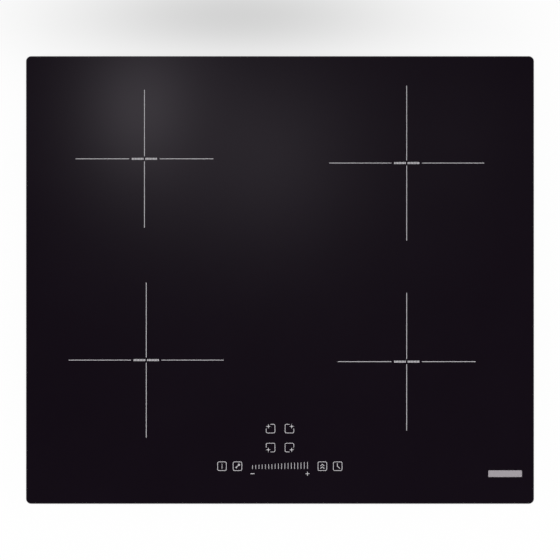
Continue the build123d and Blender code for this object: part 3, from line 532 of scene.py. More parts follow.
# %% Dress the parts
DRESS = {
    glass: ("glass_top",),
    foam: ("rim_gasket", "touch_foam"),
    silicone: ("bond_bead",),
    steel: ("glass_frame", "base_pan"),
    zinc: ("clamp_studs", "worktop_clamp", "coil_springs", "board_posts"),
    aluminium: ("coil_tray", "heatsinks"),
    board: ("power_board", "control_board"),
    plastics["black_plastic"]: ("power_transistors", "bridge_rectifiers", "blower", "cable_bush",
                                "control_tray"),
    plastics["grey_plastic"]: ("terminal_box", "terminal_lid", "coil_carrier"),
    plastics["cream_plastic"]: ("terminal_block",),
    plastics["capacitor_case"]: ("film_capacitors",),
    plastics["lamp_plastic"]: ("display_modules",),
    plastics["sensor_rubber"]: ("heat_sensor",),
    ferrite: ("filter_chokes", "ferrite_bars"),
    mica: ("insulation_disc",),
    ribbon: ("ribbon_cable",),
}
DRESS.update({copper: (f"coil_winding_{zone}",) for zone, copper in windings.items()})

for name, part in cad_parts.items():
    finish = next(material for material, starts in DRESS.items() if name.startswith(starts))
    for slot in part.material_slots:
        slot.material = finish
print("dressed:", len(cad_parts), "parts with", len(DRESS), "finishes")

# %% [markdown]
# ## Enamel for the printed marks
# The marks are screen-printed with a pale ceramic enamel and fired into the glass, so they lie a few
# hundredths of a millimetre proud. They could be painted in the glass material with masks, but a real thin
# layer keeps crisp edges at any distance. The enamel is matt, slightly mottled, and has the fine tooth of
# the screen.

# %% Enamel
MOTTLE = 700.0
SCREEN_TOOTH = 4000.0


def enamel(name, darker, lighter):
    finish = Finish(name)
    mottle = finish.noise(MOTTLE)
    tooth = finish.cells(SCREEN_TOOTH)
    return finish.surface(mottle, darker, lighter, 0.45 + 0.15 * mottle, (tooth, 0.01 * MM))


pale_enamel = enamel("pale_enamel", (0.47, 0.455, 0.48), (0.62, 0.605, 0.63))
print("enamel:", pale_enamel.name)

# %% [markdown]
# ## Selecting in code
# An operator works on whatever is selected. By hand you click, and a script selects by place instead: it
# clears the selection, picks the corners, edges or faces that pass a test, and only then calls the
# operator. A finished piece has its place in its mesh and its object at the origin, so every move is
# applied at once.

# %% Tools for selecting
TOLERANCE = 0.01 * MM


def clear_selection():
    """Back to object mode with nothing selected."""
    if bpy.context.object and bpy.context.object.mode != "OBJECT":
        bpy.ops.object.mode_set(mode="OBJECT")
    bpy.ops.object.select_all(action="DESELECT")


def select_only(*pieces):
    """Selects these pieces, with the first one active."""
    clear_selection()
    for piece in pieces:
        piece.select_set(True)
    bpy.context.view_layer.objects.active = pieces[0]


def settle(piece, name):
    """Names a piece and moves its place, turn and size into its mesh."""
    select_only(piece)
    bpy.ops.object.transform_apply(location=True, rotation=True, scale=True)
    piece.name = name
    return piece


@contextlib.contextmanager
def editing(piece):
    """Edit mode on one piece with all of it selected, and back to object mode at the end."""
    select_only(piece)
    bpy.ops.object.mode_set(mode="EDIT")
    bpy.ops.mesh.select_all(action="SELECT")
    yield
    bpy.ops.object.mode_set(mode="OBJECT")


def pick(piece, kind, test):
    """In edit mode, selects the verts, edges or faces of a piece that pass a test."""
    bpy.ops.mesh.select_mode(type=kind[:-1].upper())
    bpy.ops.mesh.select_all(action="DESELECT")
    mesh = bmesh.from_edit_mesh(piece.data)
    chosen = [element for element in getattr(mesh, kind) if test(element)]
    for element in chosen:
        element.select_set(True)
    mesh.select_flush_mode()
    bmesh.update_edit_mesh(piece.data)
    return len(chosen)


def middle(element):
    """Middle of an edge or a face."""
    return sum((vert.co for vert in element.verts), Vector()) / len(element.verts)


def extrude(step):
    """Extrudes what is selected by a step."""
    bpy.ops.mesh.extrude_region_move(TRANSFORM_OT_translate={"value": step})


print("places count as the same within", in_mm([TOLERANCE]), "mm")

# %% [markdown]
# ## A pen for flat marks
# Nearly every mark is a line of even width, straight or bent. By hand you would add a plane for the first
# run, select its end, turn it half way into the bend, extrude it to the next point and turn it the rest.
# This function does just that. Without a window, Blender's rotate tool turns the other way round, so the
# turn is given with a minus sign and its own centre.

# %% The pen
ENAMEL_BED = GLASS_TOP - 0.01 * MM
NEARLY = 0.9


def plane(name, x, y, width, depth, turn=(0, 0, 0), z=ENAMEL_BED):
    """A plane of a given size, which lies on the glass unless a turn and a height are given."""
    clear_selection()
    bpy.ops.mesh.primitive_plane_add(size=1, location=(x, y, z), rotation=turn)
    bpy.context.object.scale = (width, depth, 1)
    return settle(bpy.context.object, name)


def bend_end(piece, corner, width, turn, stretch):
    """Turns the end of a stroke about its corner and stretches it."""
    pick(piece, "verts", lambda vert: (vert.co - corner).length < NEARLY * width)
    bpy.ops.transform.rotate(value=-turn, orient_axis="Z", center_override=corner)
    bpy.ops.transform.resize(value=(stretch, stretch, 1), center_override=corner)


def stroke(name, points, width):
    """A flat line of even width through two or more points on the glass."""
    stops = [Vector((x, y, ENAMEL_BED)) for x, y in points]
    runs = [after - before for before, after in zip(stops, stops[1:])]
    start = (stops[0] + stops[1]) / 2
    aim = math.atan2(runs[0].y, runs[0].x)
    mark = plane(name, start.x, start.y, runs[0].length, width, turn=(0, 0, aim))
    with editing(mark):
        for corner, before, after in zip(stops[1:], runs, runs[1:]):
            half = -before.xy.angle_signed(after.xy) / 2
            bend_end(mark, corner, width, half, 1 / math.cos(half))
            extrude(after)
            bend_end(mark, corner + after, width, half, math.cos(half))
    return mark


def round_corners(mark, radius, segments=2):
    """Rounds the free corners of a flat mark."""
    with editing(mark):
        pick(mark, "verts", lambda vert: len(vert.link_edges) == 2)
        bpy.ops.mesh.bevel(offset=radius, segments=segments, affect="VERTICES")


print("pen ready, on the bed", round(ENAMEL_BED / MM, 2), "mm above the ground")

# %% [markdown]
# ## Fire the marks
# Marks that belong together are joined into one piece. A flat piece then becomes a thin layer with
# Solidify, gets its enamel and is fixed to the housing, so that it goes wherever the cooktop goes.
# Extruding the faces up would do as well, but Solidify keeps the thickness even where the piece is bent.

# %% Join, thicken and fire
ENAMEL_DEPTH = 0.04 * MM


def join(name, marks):
    """Joins several marks into one piece."""
    select_only(*marks)
    if len(marks) > 1:
        bpy.ops.object.join()
    marks[0].name = name
    return marks[0]


def thicken(piece, depth):
    """Turns a flat piece into a sheet that stands up from where it lay."""
    select_only(piece)
    bpy.ops.object.modifier_add(type="SOLIDIFY")
    piece.modifiers[-1].thickness = depth
    piece.modifiers[-1].offset = 1
    piece.modifiers[-1].use_even_offset = True
    bpy.ops.object.modifier_apply(modifier=piece.modifiers[-1].name)
    return piece


def paint(piece, finish):
    """Gives a piece one finish."""
    piece.data.materials.clear()
    piece.data.materials.append(finish)


def fire(mark, finish=pale_enamel):
    """Gives a flat mark the depth of the enamel and its finish, and fixes it to the cooktop."""
    thicken(mark, ENAMEL_DEPTH)
    paint(mark, finish)
    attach(mark, "housing")
    return mark


def tally(pieces):
    """Names and face counts of pieces, for printing."""
    return [(piece.name, len(piece.data.polygons)) for piece in pieces]


print("enamel", in_mm([ENAMEL_DEPTH]), "mm deep")

# %% [markdown]
# ## Zone crosses
# Each cooking zone is marked by a fine cross that spans it. The arms stop short of the middle. The level
# arms leave a longer gap, which holds a row of small ticks. The arms are strokes, and the tick is modelled
# once and copied, with its own mesh, along the row. A print never sits exactly over its coil, so each cross
# is off by some tenths of a millimetre.

# %% Zone crosses
CROSS_LINE = 0.74 * MM
LEVEL_GAP = 17.7 * MM
UPRIGHT_GAP = 2.9 * MM
LINE_ROUND = 0.2 * MM
TICK_WIDTH = 1.3 * MM
TICK_HEIGHT = 2.3 * MM
TICK_PITCH = 1.75 * MM
TICKS_PER_SIDE = 8
PRINT_SHIFT = {
    "back_left": (-0.4 * MM, -0.3 * MM),
    "back_right": (0.1 * MM, -0.2 * MM),
    "front_left": (0.7 * MM, 0.0),
    "front_right": (0.1 * MM, 0.2 * MM),
}


def copy_to(piece, name, x, y, turn=0.0):
    """A copy of a piece with its own mesh, turned about the origin and then moved."""
    select_only(piece)
    bpy.ops.object.duplicate()
    twin = bpy.context.object
    twin.location = (x, y, 0)
    twin.rotation_euler = (0, 0, turn)
    return settle(twin, name)


def tick_row(x, y):
    """A row of ticks on both sides of a centre, which stays free."""
    first = x - TICKS_PER_SIDE * TICK_PITCH
    tick = stroke("tick", [(first, y - TICK_HEIGHT / 2), (first, y + TICK_HEIGHT / 2)], TICK_WIDTH)
    round_corners(tick, LINE_ROUND)
    others = [number for number in range(1, 2 * TICKS_PER_SIDE + 1) if number != TICKS_PER_SIDE]
    return [tick] + [copy_to(tick, "tick", number * TICK_PITCH, 0) for number in others]


def zone_cross(zone):
    """Cross of one zone, with its row of ticks."""
    x, y, radius = ZONES[zone]
    x += PRINT_SHIFT[zone][0]
    y += PRINT_SHIFT[zone][1]
    arms = []
    for way in (-1, 1):
        arms.append(stroke("arm", [(x + way * LEVEL_GAP, y), (x + way * radius, y)], CROSS_LINE))
        arms.append(stroke("arm", [(x, y + way * UPRIGHT_GAP), (x, y + way * radius)], CROSS_LINE))
    for arm in arms:
        round_corners(arm, LINE_ROUND)
    return fire(join(f"zone_cross_{zone}", arms + tick_row(x, y)))


print("crosses:", tally([zone_cross(zone) for zone in ZONES]))

# %% [markdown]
# ## Keys of the front row
# The touch keys are small rounded squares drawn as outlines. Four stand beside the slider in the front row.
# One outline is modelled from a plane: bevel its corners, inset the face by the width of the line and
# delete the middle. Then it is copied to each key, and a sign drawn with the pen is joined to it.

# %% Key outline
KEY_SIZE = 10.8 * MM
KEY_LINE = 0.70 * MM
KEY_ROUND = 2.0 * MM


def key_outline():
    """Rounded square outline about the origin."""
    outline = plane("key_outline", 0, 0, KEY_SIZE, KEY_SIZE)
    round_corners(outline, KEY_ROUND, segments=6)
    with editing(outline):
        bpy.ops.mesh.inset(thickness=KEY_LINE, depth=0)
        pick(outline, "faces", lambda face: middle(face).xy.length < KEY_LINE)
        bpy.ops.mesh.delete(type="FACE")
    return outline


blank_key = key_outline()
print("key outline:", tally([blank_key]))

# %% [markdown]
# ## Sign of the lock
# The lock key shows a small door key that leans to the right. It could be cut from a drawing, but it is
# quickly grown from an octagon, its head: one side is extruded into a neck and a shaft, and the end of the
# shaft is extruded and widened into the bit. Each step has a length and says how much its end widens.

# %% Lock sign
LOCK_SIDES = 8
LOCK_RADIUS = 1.3 * MM
LOCK_STEPS = ((0.2 * MM, 0.7), (1.7 * MM, 1.0), (0.44 * MM, 2.6), (1.76 * MM, 0.75))
LOCK_LEAN = -math.pi / 4
LOCK_HEAD = (1.8 * MM, 1.65 * MM)


def near(place):
    """A test for edges whose middle is at a place."""
    return lambda edge: (middle(edge) - place).length < TOLERANCE


def lock_sign():
    """A key that leans to the right: round head, thin shaft and a wider bit."""
    clear_selection()
    half_side = math.pi / LOCK_SIDES
    bpy.ops.mesh.primitive_circle_add(vertices=LOCK_SIDES, radius=LOCK_RADIUS, fill_type="NGON",
                                      location=(0, 0, ENAMEL_BED), rotation=(0, 0, half_side))
    sign = settle(bpy.context.object, "lock_sign")
    end = Vector((0, -LOCK_RADIUS * math.cos(half_side), ENAMEL_BED))
    with editing(sign):
        for length, widening in LOCK_STEPS:
            pick(sign, "edges", near(end))
            extrude((0, -length, 0))
            end.y -= length
            bpy.ops.transform.resize(value=(widening, 1, 1), center_override=end)
    sign.location = (*LOCK_HEAD, 0)
    sign.rotation_euler.z = LOCK_LEAN
    return settle(sign, "lock_sign")


key_sign = lock_sign()
print("lock sign:", tally([key_sign]))

# %% [markdown]
# ## Signs of the front row
# The other signs are an upright bar for on and off, double chevrons for full power, and clock hands for the
# timer. All three are strokes of the pen. Each sign is rounded, joined to a copy of the outline and moved
# to its place in the row, so that a key and its sign are one print.

# %% Front row
SIGN_LINE = 0.8 * MM
ON_OFF_LINE = 0.6 * MM
ON_OFF_HALF = 2.9 * MM
CHEVRON = [(-2.4 * MM, -2.7 * MM), (0, -0.7 * MM), (2.4 * MM, -2.7 * MM)]
CHEVRON_STEP = 2.9 * MM
CLOCK_HANDS = [(-0.4 * MM, 3.3 * MM), (-0.4 * MM, 0), (2.5 * MM, -2.6 * MM)]
ROW_Y = -216.2 * MM
ON_OFF_X, LOCK_X, POWER_X, TIMER_X = -67.4 * MM, -49.4 * MM, 49.2 * MM, 67.0 * MM

on_off_sign = stroke("on_off_sign", [(0, -ON_OFF_HALF), (0, ON_OFF_HALF)], ON_OFF_LINE)
chevron = stroke("chevron", CHEVRON, SIGN_LINE)
power_sign = join("power_sign", [chevron, copy_to(chevron, "chevron", 0, CHEVRON_STEP)])
timer_sign = stroke("timer_sign", CLOCK_HANDS, SIGN_LINE)
SIGNS = {"on_off": (ON_OFF_X, on_off_sign), "lock": (LOCK_X, key_sign),
         "power": (POWER_X, power_sign), "timer": (TIMER_X, timer_sign)}
row_keys = []
for name, (x, sign) in SIGNS.items():
    round_corners(sign, LINE_ROUND, segments=3)
    key = join(f"key_{name}", [copy_to(blank_key, f"key_{name}", 0, 0), sign])
    key.location = (x, ROW_Y, 0)
    row_keys.append(fire(settle(key, f"key_{name}")))
print("row keys:", tally(row_keys))

# %% [markdown]
# ## Zone keys
# Four keys stand in a square above the slider, one for each zone. The corner of a key that points to its
# zone is cut away and holds a four-pointed star. The cut is two bisects and a delete. The star starts as a
# diamond whose sides are divided, and the new points are pulled towards the middle. One key is modelled,
# and quarter turns of it make the other three.

# %% Zone keys
QUARTER = math.pi / 2
ZONE_KEY_X = 10.95 * MM
BACK_KEY_Y, FRONT_KEY_Y = -172.55 * MM, -194.55 * MM
CORNER_CUT = 5.3 * MM
STAR_REACH = 3.0 * MM
STAR_WAIST = 0.36
STAR_ROUND = 0.25 * MM
STAR_INSET = 2.8 * MM
KEY_PLACES = {
    "back_left": (-ZONE_KEY_X, BACK_KEY_Y, 0.0),
    "back_right": (ZONE_KEY_X, BACK_KEY_Y, -QUARTER),
    "front_left": (-ZONE_KEY_X, FRONT_KEY_Y, QUARTER),
    "front_right": (ZONE_KEY_X, FRONT_KEY_Y, 2 * QUARTER),
}


def star(x, y):
    """Four-pointed star with hollow sides."""
    centre = Vector((x, y, ENAMEL_BED))

    def waist(vert):
        return (vert.co - centre).length < NEARLY * STAR_REACH

    clear_selection()
    bpy.ops.mesh.primitive_circle_add(vertices=4, radius=STAR_REACH, location=centre)
    shape = settle(bpy.context.object, "star")
    with editing(shape):
        bpy.ops.mesh.subdivide(number_cuts=1)
        pick(shape, "verts", waist)
        bpy.ops.transform.resize(value=(STAR_WAIST, STAR_WAIST, 1), center_override=centre)
        bpy.ops.mesh.select_all(action="SELECT")
        bpy.ops.mesh.edge_face_add()
        if pick(shape, "faces", lambda face: face.normal.z < 0):
            bpy.ops.mesh.flip_normals()
        pick(shape, "verts", waist)
        bpy.ops.mesh.bevel(offset=STAR_ROUND, segments=3, affect="VERTICES")
    return shape


def zone_key():
    """Key about the origin with its upper left corner cut away for a star."""
    key = copy_to(blank_key, "zone_key", 0, 0)
    cut_x, cut_y = CORNER_CUT - KEY_SIZE / 2, KEY_SIZE / 2 - CORNER_CUT
    with editing(key):
        for point, normal in (((cut_x, 0, 0), (1, 0, 0)), ((0, cut_y, 0), (0, 1, 0))):
            bpy.ops.mesh.select_all(action="SELECT")
            bpy.ops.mesh.bisect(plane_co=point, plane_no=normal)
        pick(key, "faces", lambda face: middle(face).x < cut_x and middle(face).y > cut_y)
        bpy.ops.mesh.delete(type="FACE")
    return join("zone_key", [key, star(STAR_INSET - KEY_SIZE / 2, KEY_SIZE / 2 - STAR_INSET)])


first_key = zone_key()
zone_keys = [fire(copy_to(first_key, f"zone_key_{zone}", *place)) for zone, place in KEY_PLACES.items()]
for pattern in (blank_key, first_key):
    bpy.data.objects.remove(pattern)
print("zone keys:", tally(zone_keys))

# %% [markdown]
# ## Slider
# The power slider is a scale of bars that grow from left to right, with a minus below its start and a plus
# below its end. The first bar is drawn once. Each copy keeps its foot on the line and has its top edge
# moved up a little more. The plus starts as a small square whose four sides are extruded outwards.

# %% Slider
BAR_COUNT = 18
BAR_LINE = 0.64 * MM
SLIDER_HALF = 31.9 * MM
BAR_FOOT_Y = -219.4 * MM
FIRST_BAR = 4.5 * MM
LAST_BAR = 8.1 * MM
MINUS_PLUS_Y = -224.9 * MM
MINUS_HALF = 2.3 * MM
MINUS_LINE = 1.0 * MM
PLUS_LINE = 0.75 * MM


def slider_bars():
    """Scale of bars whose tops rise evenly."""
    ends = [(-SLIDER_HALF, BAR_FOOT_Y), (-SLIDER_HALF, BAR_FOOT_Y + FIRST_BAR)]
    bars = [stroke("bar", ends, BAR_LINE)]
    for number in range(1, BAR_COUNT):
        share = number / (BAR_COUNT - 1)
        bar = copy_to(bars[0], "bar", 2 * SLIDER_HALF * share, 0)
        with editing(bar):
            pick(bar, "verts", lambda vert: vert.co.y > BAR_FOOT_Y + FIRST_BAR / 2)
            bpy.ops.transform.translate(value=(0, (LAST_BAR - FIRST_BAR) * share, 0))
        bars.append(bar)
    for bar in bars:
        round_corners(bar, LINE_ROUND)
    return fire(join("slider_scale", bars))


def plus(name, x, y, line, reach, z=ENAMEL_BED):
    """Plus, grown from a square by extruding its sides."""
    piece = plane(name, x, y, line, line, z=z)
    with editing(piece):
        for way in (Vector((1, 0, 0)), Vector((0, 1, 0)), Vector((-1, 0, 0)), Vector((0, -1, 0))):
            pick(piece, "edges", near(Vector((x, y, z)) + way * line / 2))
            extrude(way * (reach - line / 2))
    return piece


scale = slider_bars()
minus_ends = [(way * MINUS_HALF - SLIDER_HALF, MINUS_PLUS_Y) for way in (-1, 1)]
minus_sign = stroke("minus_sign", minus_ends, MINUS_LINE)
plus_sign = plus("plus_sign", SLIDER_HALF, MINUS_PLUS_Y, PLUS_LINE, MINUS_HALF)
for sign in (minus_sign, plus_sign):
    round_corners(sign, LINE_ROUND)
    fire(sign)
print("slider:", BAR_COUNT, "bars,", tally([scale, minus_sign, plus_sign]))

# %% [markdown]
# ## Bare plate
# A small printed plate sits at the front right corner of the glass. It stays bare. It is a plane with
# rounded corners, inset once so that a thin raised lip runs round its face, as a thick print has. Its
# enamel is greyer than that of the lines, so that a solid patch doesn't outshine the thin marks of the
# keys.

# %% Bare plate
PLATE_CENTRE = (261.4 * MM, -224.9 * MM)
PLATE_SIZE = (39.1 * MM, 7.7 * MM)
PLATE_ROUND = 1.0 * MM
PLATE_LIP = 0.45 * MM
LIP_SLOPE = 0.15 * MM
LIP_RISE = 0.015 * MM


def bare_plate():
    """Bare printed plate with a thin lip."""
    piece = plane("bare_plate", *PLATE_CENTRE, *PLATE_SIZE)
    round_corners(piece, PLATE_ROUND, segments=5)
    with editing(piece):
        bpy.ops.mesh.inset(thickness=PLATE_LIP, depth=0)
        bpy.ops.mesh.inset(thickness=LIP_SLOPE, depth=-LIP_RISE)
    return fire(piece, enamel("plate_enamel", (0.33, 0.305, 0.33), (0.41, 0.375, 0.405)))


corner_plate = bare_plate()
print("plate:", in_mm(corner_plate.dimensions), "mm")

# %% [markdown]
# ## A screw
# Small pan-head screws hold the pan to the frame and the coil tray to the ledges. Only the heads show. A
# head is a cylinder with a rounded top edge, and its cross recess is cut with a boolean. The cutter is a
# small square grown into a plus, pushed down and tapered, as the driver bit is.

# %% Model one screw
SCREW_SIDES = 32
HEAD_SIZE = 3.4 * MM
HEAD_HEIGHT = 1.9 * MM
HEAD_ROUND = 1.3 * MM
RECESS_LINE = 0.8 * MM
RECESS_REACH = 1.9 * MM
RECESS_DEPTH = 1.2 * MM
RECESS_TAPER = 0.55
CUTTER_LIFT = 0.2 * MM
SCREW_SMOOTH = math.radians(35)


def recess_cutter():
    """Tapered plus that cuts the cross recess from the top."""
    cutter = plus("recess_cutter", 0, 0, RECESS_LINE, RECESS_REACH, z=HEAD_HEIGHT + CUTTER_LIFT)
    with editing(cutter):
        bpy.ops.mesh.duplicate()
        bpy.ops.transform.translate(value=(0, 0, -RECESS_DEPTH - CUTTER_LIFT))
        bpy.ops.transform.resize(value=(RECESS_TAPER, RECESS_TAPER, 1), center_override=(0, 0, 0))
        pick(cutter, "edges", lambda edge: len(edge.link_faces) == 1)
        bpy.ops.mesh.bridge_edge_loops()
        bpy.ops.mesh.select_all(action="SELECT")
        bpy.ops.mesh.normals_make_consistent(inside=False)
    return cutter


def screw_head():
    """Pan head with a cross recess, standing on the origin and pointing up."""
    clear_selection()
    bpy.ops.mesh.primitive_cylinder_add(vertices=SCREW_SIDES, radius=HEAD_SIZE, depth=HEAD_HEIGHT,
                                        location=(0, 0, HEAD_HEIGHT / 2))
    head = settle(bpy.context.object, "screw_head")
    with editing(head):
        pick(head, "edges", lambda edge: all(vert.co.z > NEARLY * HEAD_HEIGHT for vert in edge.verts))
        bpy.ops.mesh.bevel(offset=HEAD_ROUND, segments=5, affect="EDGES")
    cutter = recess_cutter()
    select_only(head)
    bpy.ops.object.modifier_add(type="BOOLEAN")
    head.modifiers[-1].operation = "DIFFERENCE"
    head.modifiers[-1].object = cutter
    bpy.ops.object.modifier_apply(modifier=head.modifiers[-1].name)
    bpy.ops.object.shade_smooth_by_angle(angle=SCREW_SMOOTH)
    bpy.data.objects.remove(cutter)
    paint(head, zinc)
    return head


pattern_screw = screw_head()
print("screw:", tally([pattern_screw]), in_mm(pattern_screw.dimensions), "mm")

# %% [markdown]
# ## Place the screws
# Eight screws go through the pan walls into the leg of the frame, and six through the ledges into the feet
# of the coil tray. Five smaller ones sit in the pockets of the terminal block. Each is a copy of the one
# screw with its own mesh. A screw is turned so that its head faces away from the sheet that it holds, with
# its recess at a different angle each time.

# %% Place the screws
pan_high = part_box("base_pan")[1]
tray_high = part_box("coil_tray")[1]
block_low, block_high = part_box("terminal_block")
WALL_SCREW_Z = (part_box("glass_frame")[0].z + pan_high.z) / 2
WALL_SCREW_X = 160 * MM
WALL_SCREW_Y = 70 * MM
TRAY_SCREW_Y = (-214 * MM, 0.0, 214 * MM)
TRAY_SCREW_X = tray_high.x - 4.5 * MM
LEDGE_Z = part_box("clamp_studs")[1].z
POLE_PITCH = 11.5 * MM
POLE_COUNT = 5
POCKET_Z = block_low.z + 3.0 * MM
POLE_SCREW_SIZE = 0.62
RECESS_STEP = 0.7
UPSIDE_DOWN = (2 * QUARTER, 0, 0)


def place_screw(name, number, place, turn, size=1.0):
    """A copy of the screw, turned to face a direction, at a place on the cooktop."""
    screw = copy_to(pattern_screw, name, 0, 0, number * RECESS_STEP)
    screw.rotation_euler = turn
    screw.location = place
    screw.scale = (size, size, size)
    settle(screw, name)
    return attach(screw, "housing")


seats = []
for way in (-1, 1):
    for x in (-WALL_SCREW_X, WALL_SCREW_X):
        seats.append(((x, way * pan_high.y, WALL_SCREW_Z), (-way * QUARTER, 0, 0)))
    for y in (-WALL_SCREW_Y, WALL_SCREW_Y):
        seats.append(((way * pan_high.x, y, WALL_SCREW_Z), (0, way * QUARTER, 0)))
    for y in TRAY_SCREW_Y:
        seats.append(((way * TRAY_SCREW_X, y, LEDGE_Z), UPSIDE_DOWN))
screws = [place_screw(f"pan_screw_{number}", number, *seat) for number, seat in enumerate(seats, 1)]
for number in range(POLE_COUNT):
    x = (number - (POLE_COUNT - 1) / 2) * POLE_PITCH
    pocket = (x, (block_low.y + block_high.y) / 2, POCKET_Z)
    screws.append(place_screw(f"pole_screw_{number + 1}", number, pocket, UPSIDE_DOWN, POLE_SCREW_SIZE))
bpy.data.objects.remove(pattern_screw)
print("screws:", len(screws))

# %% [markdown]
# ## Foam seal
# A strip of soft foam lies under the rim of the glass and seals it against the worktop. It is laid in one
# length, bent round the four corners, and its ends meet at the back. The model has a plain band in its
# place, which this piece replaces. The strip starts as its cross-section with rounded corners. The section
# is extruded along each side and spun round each corner, from one end of the joint to the other, and then
# both ends are closed.

# %% Foam seal
SEAL_WIDTH = 8.0 * MM
SEAL_ROUND = 0.7 * MM
SEAL_BEND = 5.5 * MM
SEAL_JOINT = 0.4 * MM
BEND_STEPS = 9
SMOOTH = math.radians(40)
seal_low, seal_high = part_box("rim_gasket")


def seal_section(x, y):
    """Cross-section of the strip with rounded corners, square to its run."""
    height = seal_high.z - seal_low.z
    section = plane("foam_seal", x, y, height, SEAL_WIDTH, turn=(0, QUARTER, 0), z=seal_low.z + height / 2)
    round_corners(section, SEAL_ROUND, segments=4)
    return section


def foam_seal():
    """Strip of foam, laid once round the glass."""
    across = seal_high.x - SEAL_WIDTH / 2 - SEAL_BEND
    deep = seal_high.y - SEAL_WIDTH / 2 - SEAL_BEND
    start = SEAL_JOINT / 2
    seal = seal_section(start, deep + SEAL_BEND)
    runs = (((across - start, 0), (across, deep)), ((0, -2 * deep), (across, -deep)),
            ((-2 * across, 0), (-across, -deep)), ((0, 2 * deep), (-across, deep)))
    with editing(seal):
        bpy.ops.mesh.delete(type="ONLY_FACE")
        bpy.ops.mesh.select_mode(type="EDGE")
        bpy.ops.mesh.select_all(action="SELECT")
        for run, corner in runs:
            extrude((*run, 0))
            bpy.ops.mesh.spin(steps=BEND_STEPS, angle=QUARTER, center=(*corner, 0), axis=(0, 0, 1))
        extrude((across - start, 0, 0))
        pick(seal, "edges", lambda edge: edge.is_boundary)
        bpy.ops.mesh.edge_face_add()
        bpy.ops.mesh.select_all(action="SELECT")
        bpy.ops.mesh.normals_make_consistent(inside=False)
    bpy.ops.object.shade_smooth_by_angle(angle=SMOOTH)
    paint(seal, foam)
    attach(seal, "housing")
    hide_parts("rim_gasket")
    return seal


seal = foam_seal()
print("foam seal:", tally([seal]), in_mm(seal.dimensions), "mm")

# %% [markdown]
# ## Leaf springs
# Three bent strips of sheet stand on the tray under each coil and press it against the glass. The coil can
# give way downwards by two millimetres, and the strips flatten under it. The model has stiff strips in their
# place, and these replace them. A strip is a plane whose end is extruded into a slope and a pad. Its bends
# are bevelled, and Solidify makes it a sheet. It is copied to its places.

# %% Leaf springs
SPRING_ANGLES = (22.5, 157.5, 292.5)
SPRING_START = 44 * MM
SPRING_FOOT, SPRING_SLOPE, SPRING_PAD = 8 * MM, 12 * MM, 6 * MM
SPRING_WIDTH = 10 * MM
SPRING_SHEET = 0.5 * MM
SPRING_BEND = 2.0 * MM
STRIP_ROUND = 1.5 * MM
spring_low, spring_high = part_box("coil_springs_back_left")
SPRING_HEIGHT = spring_high.z - spring_low.z


def leaf_strip():
    """One strip along X, from its foot on the tray up to its pad under the coil."""
    strip = plane("strip", SPRING_START + SPRING_FOOT / 2, 0, SPRING_FOOT, SPRING_WIDTH, z=spring_low.z)
    bend = SPRING_START + SPRING_FOOT
    with editing(strip):
        for run in ((SPRING_SLOPE, 0, SPRING_HEIGHT - SPRING_SHEET), (SPRING_PAD, 0, 0)):
            pick(strip, "edges", lambda edge: abs(middle(edge).x - bend) < TOLERANCE)
            extrude(run)
            bend += run[0]
        pick(strip, "edges", lambda edge: len(edge.link_faces) == 2)
        bpy.ops.mesh.bevel(offset=SPRING_BEND, segments=4, affect="EDGES")
    round_corners(strip, STRIP_ROUND, segments=4)
    return thicken(strip, SPRING_SHEET)


def leaf_springs(zone, strip):
    """The springs of one coil, joined into one piece and fixed to the cooktop."""
    x, y, _ = ZONES[zone]
    name = f"leaf_springs_{zone}"
    springs = join(name, [copy_to(strip, name, x, y, math.radians(angle)) for angle in SPRING_ANGLES])
    bpy.ops.object.shade_smooth_by_angle(angle=SMOOTH)
    paint(springs, zinc)
    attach(springs, "housing")
    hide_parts(f"coil_springs_{zone}")
    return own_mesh(springs)


pattern_strip = leaf_strip()
springs = [leaf_springs(zone, pattern_strip) for zone in ZONES]
bpy.data.objects.remove(pattern_strip)
print("springs:", tally(springs))

# %% [markdown]
# ## Floor
# The cooktop lies on a plain white floor. The floor keeps a soft shadow, so part of it is a matt white that
# takes light, and the rest glows softly for the camera and for reflections, which is how a lit studio sweep
# looks. The matt share is largest close to the pan, where the shadow shows that the cooktop stands on the
# floor. Behind the cooktop a soft grey patch of painted shade is blended into the glow.
# The glow doesn't light the cooktop, because it is switched off for all other rays. Seen from below, the
# floor is clear.

# %% Floor
FLOOR_SIZE = 12.0
FLOOR_DROP = 0.3 * MM
MATT_WHITE = 0.92
SHADOW_NEAR = 0.45
SHADOW_FAR = 0.04
SHADOW_FADE = 35 * MM
SWEEP_START = 0.8
SWEEP_LENGTH = 1.6
# Painted shade: centre, size and depth of a soft grey patch in the glow behind the cooktop.
PAINTED_SHADE_CENTRE = (-53 * MM, 320 * MM, 0.0)
PAINTED_SHADE_SIZE = (205 * MM, 54 * MM)
PAINTED_SHADE_DEPTH = 0.34


def seen_directly(bench):
    """One for rays from the camera, from glossy surfaces and through clear ones, and zero for the rest."""
    camera, glossy, clear = (bench.node("LightPath", output=name)
                             for name in ("Is Camera Ray", "Is Glossy Ray", "Is Transmission Ray"))
    return bench.larger(camera, bench.larger(glossy, clear))


